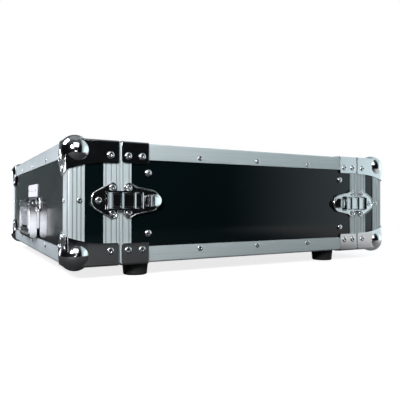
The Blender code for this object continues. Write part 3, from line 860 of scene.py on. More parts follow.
def body_extrusions(end):
    seam = LID_DEPTH[end] + SEAM_GAP
    stop = LID_DEPTH[end] + BODY_BAND
    section = arc((SEAM_ROUND, seam + SEAM_ROUND), SEAM_ROUND, 270, 180, SEAM_STEPS)[:-1]
    section += ribbed(seam + SEAM_ROUND, stop, BODY_MARGIN)
    section += [
        (METAL, stop), (METAL, seam + METAL), (LIP_IN, seam + METAL), (LIP_IN, seam + LIP_LENGTH),
        (TONGUE_OUT, seam + LIP_LENGTH), (TONGUE_OUT, seam - TONGUE_REACH),
        (TONGUE_IN, seam - TONGUE_REACH), (TONGUE_IN, seam),
    ]
    ring(f"mouth_valance_{end}", section, end, "case", f"body_valance_{end}")


def angle_section(leg, inner, outer):
    """An L round the arris, as insets from the two faces, with a rounded arris."""
    return [(-outer, leg), *arris_bend(outer), (leg, -outer), (leg, inner), (inner, inner),
            (inner, leg)]


def edge_extrusion(side, level):
    """A plain brushed angle, with a shallow line near each free edge."""
    front = end_y("front", LID_DEPTH["front"] + BODY_BAND + GAP)
    rear = end_y("rear", LID_DEPTH["rear"] + BODY_BAND + GAP)
    section = [(0.0, LEG)]
    section += [(depth, LEG - from_edge) for depth, from_edge in reversed(EDGE_LINE)]
    section += arris_bend()
    section += [(LEG - from_edge, depth) for depth, from_edge in EDGE_LINE]
    section += [(LEG, 0.0), (LEG, METAL), (METAL, METAL), (METAL, LEG)]
    piece = make(f"long_edge_{level}_{side}", prism(section, edge_place(side, level), front, rear),
                 "edge_aluminium")
    return stand_for(soften(piece, SOFT["extrusion"], 1), "case", f"edge_extrusion_{level}_{side}")


def shell(name, loops, closed, inner_from, body, node):
    """A plywood shell: laminate outside, bare stained wood on the faces from inner_from on."""
    shape = bridge(loops, closed)
    shape.faces.ensure_lookup_table()
    inner_box = HALF_WIDTH - RECESS - PLY / 2, HALF_HEIGHT - RECESS - PLY / 2
    for face in shape.faces:
        middle = face.calc_center_median()
        inside = abs(middle.x) < inner_box[0] and abs(middle.z - Z_MID) < inner_box[1]
        on_face = abs(middle.y - inner_from) < PLY / 2
        face.material_index = 1 if inside and not on_face else 0
    piece = make(name, shape, ["laminate", "plywood"])
    return stand_for(piece, body, node)


def shells():
    inner = RECESS + PLY
    for end in ENDS:
        stop = LID_DEPTH[end] - SEAM_HALF - METAL - GAP
        loops = [
            rounded_rectangle(inner, end_y(end, inner)),
            rounded_rectangle(inner, end_y(end, stop)),
            rounded_rectangle(RECESS, end_y(end, stop)),
            rounded_rectangle(RECESS, end_y(end, RECESS)),
        ]
        face = end_y(end, RECESS)
        tray = shell(f"{end}_tray", loops, False, face, f"{end}_lid", f"{end}_lid_shell")
        nip_corners(tray, end)
    margin = SEAM_HALF + METAL + GAP
    front = end_y("front", LID_DEPTH["front"] + margin)
    rear = end_y("rear", LID_DEPTH["rear"] + margin)
    loops = [
        rounded_rectangle(inner, front), rounded_rectangle(inner, rear),
        rounded_rectangle(RECESS, rear), rounded_rectangle(RECESS, front),
    ]
    shell("sleeve", loops, True, DEPTH, "case", "body_sleeve")


# ---------------------------------------------------------------- corner hardware


def rounded_end(leg, distance, stop, radius):
    """A plate's width where its corner rounds off, at a distance along it before its stop."""
    into = max(0.0, distance - (stop - radius)) / radius
    return leg - radius * (1 - math.sqrt(max(0.0, 1 - into * into)))


def brace(end, side, level):
    place = edge_place(side, level)
    start = LID_DEPTH[end] + BRACE_START
    shares = [i / CURVE_STEPS for i in range(CURVE_STEPS + 1)]
    sections = []
    for share in shares:
        turn = share * math.pi / 2
        sections.append((BRACE_ROUND * (1 - math.cos(turn)),
                         BRACE_LEG - BRACE_ROUND * (1 - math.sin(turn))))
    for share in shares[:-1]:
        along = BRACE_LENGTH - BALL_ROUND * (1 - share)
        sections.append((along, rounded_end(BRACE_LEG, along, BRACE_LENGTH, BALL_ROUND)))
    loops = []
    for along, leg in sections:
        y = end_y(end, start + along)
        loops.append([place(a, c, y) for a, c in angle_section(leg, -GAP, PLATE_OUT)])
    piece = make(f"brace_{end}_{level}_{side}", bridge(loops), "chrome")
    return hardware(piece, "plate", "case", f"body_brace_{end}_{level}_{side}")


def arris_cutter(place, along):
    """What a rounded arris leaves outside it, on a corner's front edge along one direction."""
    centre = ARRIS - PLATE_OUT
    clear = -2 * BALL_REACH
    outline = [(clear, clear), (centre, clear)]
    outline += arc((centre, centre), ARRIS, 270, 180, ARRIS_STEPS)
    outline += [(clear, centre)]

    def level_place(p, q, r):
        return place(r, p, q)

    def upright_place(p, q, r):
        return place(p, r, q)

    chosen = level_place if along == "level" else upright_place
    shape = prism(outline, chosen, clear, 2 * FLANGE_EDGE)
    return make("arris", shape, "chrome")


def ball_corner(end, side, level):
    """A pressed corner: ball, long folded leg and the lobed flange on the lid's face."""
    place = corner_place(end, side, level)
    stop = LID_DEPTH[end] - BALL_SHORT
    stations = [-PLATE_OUT]
    stations += [BALL_FLARE_LENGTH * (i + 1) / BALL_FLARE_STEPS for i in range(BALL_FLARE_STEPS)]
    stations += [stop - BALL_ROUND * (1 - i / CURVE_STEPS) for i in range(CURVE_STEPS + 1)]
    loops = []
    for along in stations:
        flare = max(0.0, 1 - max(0.0, along) / BALL_FLARE_LENGTH)
        leg = rounded_end(BALL_LEG + BALL_FLARE * flare * flare, along, stop, BALL_ROUND)
        loops.append([place(a, c, along) for a, c in angle_section(leg, PLATE, PLATE_OUT)])
    corner = make(f"corner_{end}_{level}_{side}", bridge(loops), "chrome")

    outline = [(-PLATE_OUT, -PLATE_OUT), (-PLATE_OUT, FLANGE_EDGE)]
    outline += arc((LOBE_NEAR, LOBE_FAR), LOBE_RADIUS, LOBE_START, 45, steps=10)
    outline += arc((LOBE_FAR, LOBE_NEAR), LOBE_RADIUS, 45, 90 - LOBE_START, steps=10)
    outline += [(FLANGE_EDGE, -PLATE_OUT)]
    flange = make("flange", prism(outline, place, -PLATE_OUT, PLATE), "chrome")
    combine(corner, [flange], "UNION")
    trims = [arris_cutter(place, "level"), arris_cutter(place, "upright")]
    trims.append(nip(place, BALL_RADIUS - GAP))
    combine(corner, trims, "DIFFERENCE")
    combine(corner, [ball(place, BALL_RADIUS)], "UNION")

    envelope = make("envelope", corner_cube(place, -GAP, 2 * stop), "chrome")
    combine(envelope, [nip(place, BALL_RADIUS - PLATE)], "DIFFERENCE")
    combine(corner, [envelope], "DIFFERENCE")
    return hardware(corner, "plate", f"{end}_lid", f"ball_corner_{end}_{level}_{side}")


# ---------------------------------------------------------------- latches


def rimmed_plate(name, outline, place):
    """A pressed plate: a round rim all the way about a lower field."""
    levels = [(outline, GAP)]
    for i in range(RIM_STEPS + 1):
        turn = math.pi * i / RIM_STEPS
        points = inset_outline(outline, RIM_RADIUS * (1 - math.cos(turn)))
        levels.append((points, RIM_LOW + RIM_RADIUS * math.sin(turn)))
    return make(name, stepped(place, *levels), "chrome")


def keeper(end, side):
    """The lid's plate: a waisted, rimmed pressing with a raised table and the hook's catch."""
    place = latch_place(end, side)
    upper = arc((KEEPER_END, 0.0), KEEPER_END_RADIUS, 180, KEEPER_TANGENT, steps=10)
    upper += arc((KEEPER_LOBE, LOBE_HALF), LATCH_LOBE, KEEPER_TANGENT, 0, steps=14)
    upper += [(KEEPER_LOBE + LATCH_LOBE, LATCH_WAIST), (-LATCH_EDGE, LATCH_WAIST)]
    plate = rimmed_plate(f"keeper_{end}_{side}", mirrored(upper), place)
    table = rounded_box(TABLE_LOW, TABLE_HIGH, TABLE_ROUND)
    rise = stepped(place, (table, GAP + PLATE / 2), (table, PLATE_OUT),
                   (inset_outline(table, TABLE_SLOPE), TABLE_TOP))
    low, high = CATCH
    catch = rounded_box((low, -CATCH_HALF), (high, CATCH_HALF), CATCH_ROUND)
    tools = [make("table", rise, "chrome"),
             make("catch", prism(catch, place, PLATE, CATCH_TOP), "chrome")]
    combine(plate, tools, "UNION")
    return hardware(plate, "latch", f"{end}_lid", f"latch_keeper_{end}_{side}")


def latch_base(end, side):
    """The body's plate: a long, rimmed pressing with two guides that the hook slides on."""
    place = latch_place(end, side)
    upper = [(LATCH_EDGE, LATCH_WAIST), (PLATE_LOBE - LATCH_LOBE, LATCH_WAIST)]
    upper += arc((PLATE_LOBE, LOBE_HALF), LATCH_LOBE, 180, PLATE_LOBE_TANGENT, steps=14)
    upper += PLATE_WAIST
    upper += arc((PLATE_END, 0.0), PLATE_END_RADIUS, PLATE_END_TANGENT, 0, steps=12)
    plate = rimmed_plate(f"latch_plate_{end}_{side}", mirrored(upper), place)
    start, stop = GUIDE
    guides = []
    for middle in (-GUIDE_OUT, GUIDE_OUT):
        guide = rounded_box((start, middle - GUIDE_HALF), (stop, middle + GUIDE_HALF), GUIDE_ROUND)
        guides.append(make("guide", prism(guide, place, PLATE, HOOK_LOW - GAP), "chrome"))
    combine(plate, guides, "UNION")
    return hardware(plate, "latch", "case", f"latch_base_{end}_{side}")


def latch_hook(end, side):
    """The draw bar: three pockets in its face and saw-tooth ribs between them."""
    place = latch_place(end, side)
    low, high = HOOK
    outline = rounded_box((low, -HOOK_HALF), (high, HOOK_HALF), HOOK_ROUND)
    bar = make(f"hook_{end}_{side}", prism(outline, place, HOOK_LOW, HOOK_HIGH), "chrome")
    pockets = []
    for start, stop in HOOK_POCKETS:
        mouth = rounded_box((start, -HOOK_POCKET_HALF), (stop, HOOK_POCKET_HALF), POCKET_ROUND)
        pocket = stepped(place, (inset_outline(mouth, POCKET_SLOPE), HOOK_FLOOR),
                         (mouth, HOOK_HIGH - POCKET_LIP), (mouth, HOOK_HIGH + METAL))
        pockets.append(make("pocket", pocket, "chrome"))
    combine(bar, pockets, "DIFFERENCE")
    middle = (HOOK_LOW + HOOK_HIGH) / 2
    ribs = []
    for start, peak, stop, rise in HOOK_RIBS:
        rib = [(start, middle), (start, HOOK_HIGH + rise / 2),
               (start + RIB_CHAMFER, HOOK_HIGH + rise * 0.8), (peak, HOOK_HIGH + rise),
               (peak + RIB_CREST, HOOK_HIGH + rise * 0.95), (stop, HOOK_HIGH - RIB_CHAMFER),
               (stop, middle)]
        ribs.append(make("rib", prism(rib, turned(place), -RIB_HALF, RIB_HALF), "chrome"))
    combine(bar, ribs, "UNION")
    return hardware(bar, "hook", f"hook_{end}_{side}", f"latch_hook_{end}_{side}")


def latch_hub(end, side):
    """The turning disc, with two ears and the pin that the wing hinges on."""
    place = latch_place(end, side)
    low, top = PLATE_OUT + GAP, HUB_TOP
    disc = [(HUB_RADIUS - HUB_FOOT_CHAMFER, low), (HUB_RADIUS, low + HUB_FOOT_CHAMFER),
            (HUB_RADIUS, top - HUB_TOP_CHAMFER), (HUB_RADIUS - HUB_TOP_CHAMFER, top), (0.0, top)]
    shape = bmesh.new()
    lathe(shape, disc, place(HUB, 0.0, 0.0), Vector((SIDES[side], 0, 0)), steps=48)
    hub = make(f"hub_{end}_{side}", shape, "chrome")
    ear = [(HUB + HUB_EAR_HALF, HUB_TOP - METAL), (HUB + HUB_EAR_HALF, WING_PIVOT)]
    ear += arc((HUB, WING_PIVOT), HUB_EAR_HALF, 15, 165, steps=10)
    ear += [(HUB - HUB_EAR_HALF, WING_PIVOT), (HUB - HUB_EAR_HALF, HUB_TOP - METAL)]
    near, far = HUB_EAR
    tools = [make("ear", prism(ear, turned(place), sign * near, sign * far), "chrome")
             for sign in (-1, 1)]
    pin = circle((HUB, WING_PIVOT), WING_PIN, steps=16)
    head = far + WING_PIN_HEAD
    tools.append(make("pin", prism(pin, turned(place), -head, head), "chrome"))
    combine(hub, tools, "UNION")
    return hardware(hub, "hinge", f"hub_{end}_{side}", f"latch_hub_{end}_{side}")


def latch_wing(end, side):
    """The thumb leaf: a round-ended plate that bends down toward its tip, on a hinge barrel."""
    place = latch_place(end, side)
    start = HUB + WING_NECK
    middle = HUB + WING_REACH - WING_HALF
    box = rounded_box((start, -WING_HALF), (middle + WING_BOX_PAST, WING_HALF), WING_CORNER, 3)
    upper = sorted(point for point in box if point[0] < middle and point[1] > 0)
    upper += arc((middle, 0.0), WING_HALF, 90, 0, steps=16)

    def bent(u, v, w):
        droop = WING_DROOP * max(0.0, u - WING_BEND) / (HUB + WING_REACH - WING_BEND)
        return place(u, v, w - droop)

    leaf = mirrored(upper)
    levels = [(0.0, WING_LOW)]
    for i in range(WING_ROUND_STEPS + 1):
        turn = math.pi / 2 * i / WING_ROUND_STEPS
        levels.append((WING_ROUND * (1 - math.cos(turn)),
                       WING_HIGH - WING_ROUND * (1 - math.sin(turn))))
    rounded = [(inset_outline(leaf, inset), w) for inset, w in levels]
    wing = make(f"wing_{end}_{side}", stepped(bent, *rounded), "chrome")
    half = WING_NECK_HALF
    neck = rounded_box((HUB + WING_BORE, -half), (start + WING_NECK_INTO, half), WING_NECK_ROUND)
    barrel = circle((HUB, WING_PIVOT), WING_BARREL, steps=24)
    bore = circle((HUB, WING_PIVOT), WING_BORE, steps=24)
    tools = [make("neck", prism(neck, place, WING_LOW, WING_HIGH - WING_NECK_DOWN), "chrome"),
             make("barrel", prism(barrel, turned(place), -half, half), "chrome")]
    combine(wing, tools, "UNION")
    drill = make("bore", prism(bore, turned(place), -2 * half, 2 * half), "chrome")
    combine(wing, [drill], "DIFFERENCE")
    return hardware(wing, "hinge", f"wing_{end}_{side}", f"latch_wing_{end}_{side}")


# ---------------------------------------------------------------- handle, badge, feet


def handle_place(x, z, out):
    """The same as panel_place, from the handle's own middle."""
    return panel_place(HANDLE_CENTRE + x, z, out)


def lug_place(y, z, x):
    """Maps a side view's Y and height, and a distance across from the handle's middle."""
    return Vector((HANDLE_CENTRE + x, y, z))


def handle_bracket():
    """The back plate with its two pairs of ears, and a pin through each pair."""
    radius = (EAR_HIGH - BRACKET_LOW) / 2
    mid = (EAR_HIGH + BRACKET_LOW) / 2
    outline = arc((BRACKET_HALF - radius, mid), radius, -90, 90, steps=20)
    outline += arc((radius - BRACKET_HALF, mid), radius, 90, 270, steps=20)
    plate = stepped(handle_place, (outline, GAP), (outline, GAP + BRACKET_EDGE),
                    (inset_outline(outline, BRACKET_SLOPE), GAP + BRACKET_THICK))
    bracket = make("bracket", plate, "chrome")
    pivot = handle_place(0.0, PIVOT_HEIGHT, PIVOT_OUT)
    root_y = Y_FRONT + RECESS - GAP - BRACKET_THICK / 2
    reach_y = Y_FRONT + RECESS - EAR_REACH
    profile = [(root_y, Z_LOW + EAR_LOW), (root_y, Z_LOW + EAR_HIGH)]
    profile += arc((pivot.y, pivot.z), pivot.y - reach_y, 90, 270, steps=20)
    pin = circle((pivot.y, pivot.z), HANDLE_PIN, steps=24)
    inner, outer = ARM_IN - EAR_GAP - EAR, ARM_OUT + EAR_GAP
    low, high = inner - HANDLE_PIN_HEAD, outer + EAR + HANDLE_PIN_HEAD
    tools = []
    for sign in SIDES.values():
        for near in (inner, outer):
            ear = prism(profile, lug_place, sign * near, sign * (near + EAR))
            tools.append(make("ear", ear, "chrome"))
        tools.append(make("pin", prism(pin, lug_place, sign * low, sign * high), "chrome"))
    combine(bracket, tools, "UNION")
    return hardware(bracket, "bracket", "front_lid", "handle_bracket")


def handle_bail():
    """The drop handle: two flat arms and the bar between them."""
    pivot = handle_place(0.0, PIVOT_HEIGHT, PIVOT_OUT)
    grip_z = Z_LOW + GRIP_HEIGHT
    outline = arc((pivot.y, pivot.z), ARM_TOP_RADIUS, 0, 180, steps=20)
    outline += arc((pivot.y, grip_z), BAR_RADIUS, 180, 360, steps=20)
    bore = circle((pivot.y, pivot.z), HANDLE_BORE, steps=24)
    arms, bores = [], []
    for sign in SIDES.values():
        arm = prism(outline, lug_place, sign * ARM_IN, sign * ARM_OUT)
        arms.append(make("arm", arm, "chrome"))
        drill = prism(bore, lug_place, sign * (ARM_IN - EAR), sign * (ARM_OUT + EAR))
        bores.append(make("bore", drill, "chrome"))
    bar = circle((pivot.y, grip_z), BAR_CORE, steps=24)
    half = (ARM_IN + ARM_OUT) / 2
    bail = make("bail", prism(bar, lug_place, -half, half), "chrome")
    combine(bail, arms, "UNION")
    combine(bail, bores, "DIFFERENCE")
    stand_for(soften(bail, SOFT["bail"], 3), "handle", "handle_bail")
    grip_sleeve(pivot.y, grip_z)


def grip_sleeve(y, z):
    """The black moulded sleeve on the handle's bar, with a ring groove every few millimetres."""
    half = ARM_IN - GRIP_SHORT
    length = 2 * half
    inwards, along = GRIP_CHAMFER
    profile = [(GRIP_BORE, 0.0), (GRIP_RADIUS - inwards, 0.0), (GRIP_RADIUS, along)]
    count = int((length - GRIP_PLAIN) / GRIP_PITCH)
    first = (length - (count - 1) * GRIP_PITCH) / 2
    floor_radius = GRIP_RADIUS - GRIP_GROOVE_FLOOR
    for i in range(count):
        middle = first + i * GRIP_PITCH
        profile += [(GRIP_RADIUS, middle - GRIP_GROOVE_TOP),
                    (floor_radius, middle - GRIP_GROOVE_FLOOR),
                    (floor_radius, middle + GRIP_GROOVE_FLOOR),
                    (GRIP_RADIUS, middle + GRIP_GROOVE_TOP)]
    profile += [(GRIP_RADIUS, length - along), (GRIP_RADIUS - inwards, length),
                (GRIP_BORE, length)]
    shape = bmesh.new()
    lathe(shape, profile, Vector((HANDLE_CENTRE - half, y, z)), (1, 0, 0), steps=40)
    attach(make("grip_sleeve", shape, "grip"), "handle")


def badge():
    """A blank plate with a bright band across it."""
    outline = rounded_box((-BADGE_HALF, BADGE_LOW), (BADGE_HALF, BADGE_HIGH), BADGE_ROUND)
    plate = make("badge", prism(outline, panel_place, GAP, GAP + BADGE_THICK), "badge_satin")
    stand_for(soften(plate, SOFT["badge"]), "front_lid", "badge_plate")
    left, right = BAND_INSET
    foot_z, head_z = (BADGE_LOW + height for height in BAND_HEIGHTS)
    band = rounded_box((left - BADGE_HALF, foot_z), (BADGE_HALF - right, head_z), BAND_ROUND)
    low = GAP + BADGE_THICK - BAND_SUNK
    stripe = make("badge_band", prism(band, panel_place, low, low + BAND_THICK), "badge_bright")
    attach(soften(stripe, SOFT["band"], 1), "front_lid")


def foot(end, side):
    """A moulded foot with a rounded rim, a ring groove and its screw's recess."""
    node = f"foot_{end}_{side}"
    low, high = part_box(node)
    centre = Vector(((low.x + high.x) / 2, (low.y + high.y) / 2, 0.0))
    wide = (high.x - low.x) / 2
    profile = list(FOOT_RECESS)
    profile += [(wide - FOOT_TAPER + out, height) for out, height in FOOT_WALL]
    profile += [(wide + out, high.z + height) for out, height in FOOT_RIM]
    shape = bmesh.new()
    lathe(shape, profile, centre, (0, 0, 1), steps=56)
    piece = make(f"rubber_{node}", shape, "rubber")
    start = LID_DEPTH[end] + BRACE_START
    near, far = end_y(end, start - GAP), end_y(end, start + BRACE_LENGTH + GAP)
    sign = SIDES[side]
    inner_x, outer_x = sign * (HALF_WIDTH - BRACE_LEG - GAP), sign * (HALF_WIDTH + LEG)
    square = ((inner_x, near), (outer_x, near), (outer_x, far), (inner_x, far))
    relief = prism(square, world_place, Z_LOW - PLATE_OUT - GAP, Z_HIGH)
    combine(piece, [make("relief", relief, "rubber")], "DIFFERENCE")
    stand_for(piece, "case", node)
    screw = bmesh.new()
    lathe(screw, FOOT_SCREW, centre, (0, 0, 1), steps=24)
    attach(make(f"foot_screw_{end}_{side}", screw, "rivet"), "case")


# ---------------------------------------------------------------- rails and fasteners


def rack_rail(end, side):
    """A steel angle with nine round holes to a column, and the nuts of its wall bolts."""
    sign = SIDES[side]
    low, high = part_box(f"rack_rail_{end}_{side}")
    wall = HALF_WIDTH - LIP_IN
    half = (high.z - low.z) / 2
    inward = 1 if end == "front" else -1
    face = low.y if end == "front" else high.y

    def place(a, b, c):
        return Vector((sign * a, face + inward * b, Z_MID + c))

    def through(x, z, y):
        return Vector((sign * x, y, z))

    outline = ((RACK_HALF_CLEAR, 0.0), (wall, 0.0), (wall, RAIL_DEPTH),
               (wall - RAIL_STEEL, RAIL_DEPTH), (wall - RAIL_STEEL, RAIL_STEEL),
               (RACK_HALF_CLEAR, RAIL_STEEL))
    rail = make(f"rail_{end}_{side}", prism(outline, place, -half, half), "rail_zinc")
    holes = []
    for unit in range(RACK_UNITS):
        for step in RACK_HOLE_STEPS:
            centre = (RACK_HALF_PITCH, Z_MID - half + unit * UNIT + step)
            drill = prism(circle(centre, RACK_HOLE, steps=32), through, face - RAIL_STEEL * 2,
                          face + RAIL_STEEL * 2)
            holes.append(make("hole", drill, "rail_zinc"))
    combine(rail, holes, "DIFFERENCE")
    stand_for(soften(rail, SOFT["rail"]), "case", f"rack_rail_{end}_{side}")
    nuts = bmesh.new()
    for level in (-1, 1):
        centre = place(wall - RAIL_STEEL, RAIL_DEPTH / 2, level * BOLT_PITCH / 2)
        lathe(nuts, NUT, centre, (-sign, 0, 0), steps=24)
    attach(make(f"nuts_{end}_{side}", nuts, "rivet"), "case")


def bolt_head(name, sign, y, z):
    """A pan head with a cross recess, on one side wall."""
    shape = bmesh.new()
    centre = Vector((sign * (HALF_WIDTH - METAL - BOLT_SUNK), y, z))
    lathe(shape, BOLT_HEAD, centre, (sign, 0, 0), steps=32)
    head = make(name, shape, "rivet")
    inner = sign * (HALF_WIDTH - METAL + CROSS_FLOOR)
    outer = sign * (HALF_WIDTH + CROSS_OUT)
    cuts = []
    for tall, wide in ((CROSS_LONG, CROSS_WIDE), (CROSS_WIDE, CROSS_LONG)):
        bar = rounded_box((y - wide, z - tall), (y + wide, z + tall), CROSS_ROUND, 1)
        loops = [[Vector((x, *point)) for point in bar] for x in (inner, outer)]
        cuts.append(make("cross", bridge(loops), "rivet"))
    combine(head, cuts, "DIFFERENCE")
    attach(soften(head, SOFT["bolt"], 1), "case")


def bolt_heads():
    """The heads over the rail bolts' ends, two to a rail."""
    for end in ENDS:
        for side, sign in SIDES.items():
            low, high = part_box(f"rack_rail_{end}_{side}")
            for height, level in (("low", -1), ("high", 1)):
                bolt_head(f"bolt_{end}_{side}_{height}", sign, (low.y + high.y) / 2,
                          Z_MID + level * BOLT_PITCH / 2)


def plate_rivets(end):
    """Rivets of one lid's ball corners, and of the braces beside it."""
    on_lid, on_case = [], []
    lid_end = LID_DEPTH[end] - LEG_RIVET
    for side, sign_x in SIDES.items():
        for level, sign_z in LEVELS.items():
            place = edge_place(side, level)
            side_out, level_out = Vector((sign_x, 0, 0)), Vector((0, 0, sign_z))
            y = end_y(end, lid_end)
            on_lid.append((place(-PLATE_OUT, PLATE_RIVET_IN, y), side_out, BIG_RIVET))
            on_lid.append((place(PLATE_RIVET_IN, -PLATE_OUT, y), level_out, BIG_RIVET))
            face_y = end_y(end, -PLATE_OUT)
            on_lid.append((place(LOBE_NEAR, LOBE_FAR, face_y), outward_y(end), BIG_RIVET))
            on_lid.append((place(LOBE_FAR, LOBE_NEAR, face_y), outward_y(end), BIG_RIVET))
            for along in BRACE_RIVETS:
                y = end_y(end, LID_DEPTH[end] + along)
                on_case.append((place(-PLATE_OUT, PLATE_RIVET_IN, y), side_out, BIG_RIVET))
                on_case.append((place(PLATE_RIVET_IN, -PLATE_OUT, y), level_out, BIG_RIVET))
    return on_lid, on_case


def edging_rivets(end):
    """Small rivets along a lid's face and edges."""
    places = []
    face_y = end_y(end, 0.0)
    for x in (-LID_RIVET_X, 0.0, LID_RIVET_X):
        for level, sign_z in LEVELS.items():
            z = Z_MID + sign_z * (HALF_HEIGHT - LID_RIVET_IN)
            places.append((Vector((x, face_y, z)), outward_y(end), SMALL_RIVET))
            top = Z_MID + sign_z * HALF_HEIGHT
            y = end_y(end, EDGE_RIVET_IN)
            places.append((Vector((x, y, top)), Vector((0, 0, sign_z)), SMALL_RIVET))
    for sign_x in SIDES.values():
        face = Vector((sign_x * (HALF_WIDTH - EDGE_RIVET_IN), face_y, LATCH_MIDDLE[end]))
        flank = Vector((sign_x * HALF_WIDTH, end_y(end, EDGE_RIVET_IN), LATCH_MIDDLE[end]))
        places.append((face, outward_y(end), SMALL_RIVET))
        places.append((flank, Vector((sign_x, 0, 0)), SMALL_RIVET))
    return places


def band_rivets(end):
    """Small rivets across the top and bottom of the two valances beside a seam."""
    on_lid, on_case = [], []
    for x in (-LID_RIVET_X, 0.0, LID_RIVET_X):
        for sign_z in LEVELS.values():
            z = Z_MID + sign_z * HALF_HEIGHT
            out = Vector((0, 0, sign_z))
            lid_y = end_y(end, LID_DEPTH[end] - LID_BAND / 2)
            case_y = end_y(end, LID_DEPTH[end] + BODY_BAND / 2)
            on_lid.append((Vector((x, lid_y, z)), out, SMALL_RIVET))
            on_case.append((Vector((x, case_y, z)), out, SMALL_RIVET))
    return on_lid, on_case


def latch_rivets(end):
    """The three rivets of each keeper and the two of each latch plate."""
    on_lid, on_case = [], []
    for side, sign in SIDES.items():
        place = latch_place(end, side)
        out = Vector((sign, 0, 0))
        on_lid.append((place(KEEPER_RIVET, 0.0, PLATE_OUT), out, LATCH_RIVET))
        for v in (-LOBE_HALF, LOBE_HALF):
            on_lid.append((place(KEEPER_LOBE, v, PLATE_OUT), out, LATCH_RIVET))
            on_case.append((place(PLATE_LOBE, v, PLATE_OUT), out, LATCH_RIVET))
    return on_lid, on_case


def long_edge_rivets():
    """Three rivets along each face of the body's long edges."""
    places = []
    middle = end_y("front", BODY_RIVET_MIDDLE)
    for side, sign_x in SIDES.items():
        for level, sign_z in LEVELS.items():
            place = edge_place(side, level)
            for step in (-1, 0, 1):
                y = middle + step * BODY_RIVET_PITCH
                flank = place(0.0, EDGE_RIVET_IN, y)
                flat = place(EDGE_RIVET_IN, 0.0, y)
                places.append((flank, Vector((sign_x, 0, 0)), SMALL_RIVET))
                places.append((flat, Vector((0, 0, sign_z)), SMALL_RIVET))
    return places


def all_rivets():
    case = long_edge_rivets()
    for end in ENDS:
        plate_lid, plate_case = plate_rivets(end)
        band_lid, band_case = band_rivets(end)
        latch_lid, latch_case = latch_rivets(end)
        lid = plate_lid + band_lid + latch_lid + edging_rivets(end)
        if end == "front":
            reach = BRACKET_HALF - BRACKET_RIVET_IN
            for x in (-reach, reach):
                point = handle_place(x, (EAR_HIGH + BRACKET_LOW) / 2, GAP + BRACKET_THICK)
                lid.append((point, outward_y(end), BIG_RIVET))
        rivets(f"rivets_{end}_lid", f"{end}_lid", lid)
        case += plate_case + band_case + latch_case
    rivets("rivets_case", "case", case)


# ---------------------------------------------------------------- stage


def camera():
    """A camera turned by its yaw, pitch and roll from level, facing +Y."""
    yaw, pitch, roll = (math.radians(a) for a in (CAMERA_YAW, CAMERA_PITCH, CAMERA_ROLL))
    ahead = Vector((-math.sin(yaw) * math.cos(pitch), math.cos(yaw) * math.cos(pitch),
                    math.sin(pitch)))
    level = Vector((math.cos(yaw), math.sin(yaw), 0.0))
    upright = level.cross(ahead)
    right = level * math.cos(roll) + upright * math.sin(roll)
    up = upright * math.cos(roll) - level * math.sin(roll)
    data = bpy.data.cameras.new("camera")
    data.lens = CAMERA_LENS
    data.sensor_width = SENSOR
    data.clip_start = CLIP_START
    made = bpy.data.objects.new("camera", data)
    rows = [(right[i], up[i], -ahead[i]) for i in range(3)]
    matrix = made.matrix_world.to_3x3()
    for i, row in enumerate(rows):
        matrix[i] = row
    made.matrix_world = matrix.to_4x4()
    made.location = CAMERA_PLACE
    bpy.context.scene.collection.objects.link(made)
    bpy.context.scene.camera = made


def floor():
    """A plain pale table under the case, which ends short of the camera.

    The camera sees it white. Reflections see it dark near the camera and bright further off.
    """
    (x0, y0), (x1, y1) = FLOOR_LOW, FLOOR_HIGH
    corners = ((x0, y0), (x1, y0), (x1, y1), (x0, y1))
    shape = bmesh.new()
    shape.faces.new([shape.verts.new((x, y, FLOOR_Z)) for x, y in corners])
    mesh = bpy.data.meshes.new("floor")
    shape.to_mesh(mesh)
    shape.free()
    paper = bpy.data.materials.new("floor_paper")
    paper.use_nodes = True
    tree = paper.node_tree
    path = add(tree, "LightPath")
    seen = add(tree, "MapRange", Value=path.outputs["Is Camera Ray"], To_Min=FLOOR_DIM,
               To_Max=FLOOR_SEEN).outputs["Result"]
    tint = add(tree, "CombineColor", Red=seen, Green=seen, Blue=seen)
    axes = add(tree, "SeparateXYZ", Vector=add(tree, "TexCoord").outputs["Object"])
    far = add(tree, "MapRange", {"interpolation_type": "SMOOTHSTEP"}, Value=axes.outputs["Y"],
              From_Min=FLOOR_FADE[0], From_Max=FLOOR_FADE[1], To_Min=0.0, To_Max=FLOOR_FAR_GLOW)
    mirrored_far = maths(tree, "MULTIPLY", far.outputs["Result"], path.outputs["Is Glossy Ray"])
    glow = add(tree, "MapRange", Value=path.outputs["Is Camera Ray"], To_Min=mirrored_far,
               To_Max=FLOOR_GLOW)
    shader = tree.nodes["Principled BSDF"]
    tree.links.new(tint.outputs["Color"], shader.inputs["Base Color"])
    tree.links.new(glow.outputs["Result"], shader.inputs["Emission Strength"])
    shader.inputs["Emission Color"].default_value = PLAIN_WHITE
    shader.inputs["Roughness"].default_value = FLOOR_ROUGH
    mesh.materials.append(paper)
    made = bpy.data.objects.new("floor", mesh)
    bpy.context.scene.collection.objects.link(made)


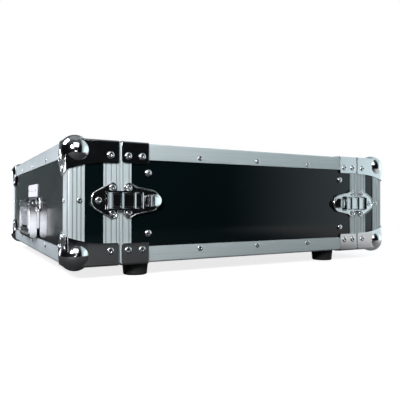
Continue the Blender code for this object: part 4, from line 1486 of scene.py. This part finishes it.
def softbox(name, place, aim, size, power, colour):
    """A rectangular lamp at a place, turned toward its aim."""
    data = bpy.data.lights.new(name, "AREA")
    data.shape = "RECTANGLE"
    data.size, data.size_y = size
    data.energy = power
    data.color = colour
    made = bpy.data.objects.new(name, data)
    made.location = place
    direction = Vector(aim) - Vector(place)
    made.rotation_euler = direction.to_track_quat("-Z", "Y").to_euler()
    made.visible_camera = False
    bpy.context.scene.collection.objects.link(made)


def facing(tree, direction, vector, low, high, strength):
    """A world brightness that rises with how nearly a direction follows a vector."""
    toward = add(tree, "VectorMath", {"operation": "DOT_PRODUCT"})
    tree.links.new(direction, toward.inputs[0])
    toward.inputs[1].default_value = vector
    made = add(tree, "MapRange", {"interpolation_type": "SMOOTHSTEP"},
               Value=toward.outputs["Value"], From_Min=low, From_Max=high, To_Min=0.0,
               To_Max=strength)
    return made.outputs["Result"]


def studio():
    """A dark room with a bright wall to the case's right rear, a pale ceiling and soft boxes."""
    world = bpy.data.worlds.new("studio")
    bpy.context.scene.world = world
    world.use_nodes = True
    tree = world.node_tree
    background = tree.nodes["Background"]
    direction = add(tree, "TexCoord").outputs["Generated"]
    total = DARK_ROOM
    for settings in ROOM_LIGHTS:
        total = maths(tree, "ADD", total, facing(tree, direction, *settings))
    seen = add(tree, "LightPath").outputs["Is Camera Ray"]
    strength = mix(tree, "FLOAT", seen, total, SEEN_ROOM)
    tree.links.new(strength, background.inputs["Strength"])
    colour = mix(tree, "RGBA", seen, ROOM_TINT, PLAIN_WHITE)
    tree.links.new(colour, background.inputs["Color"])
    for settings in SOFT_BOXES:
        softbox(*settings)
    bpy.context.scene.view_settings.view_transform = "Standard"


def build():
    shells()
    for end in ENDS:
        lid_extrusions(end)
        body_extrusions(end)
        for side in SIDES:
            keeper(end, side)
            latch_base(end, side)
            latch_hook(end, side)
            latch_hub(end, side)
            latch_wing(end, side)
            foot(end, side)
            rack_rail(end, side)
            for level in LEVELS:
                brace(end, side, level)
                ball_corner(end, side, level)
    for side in SIDES:
        for level in LEVELS:
            edge_extrusion(side, level)
    handle_bracket()
    handle_bail()
    badge()
    bolt_heads()
    all_rivets()


camera()
build()
floor()
studio()
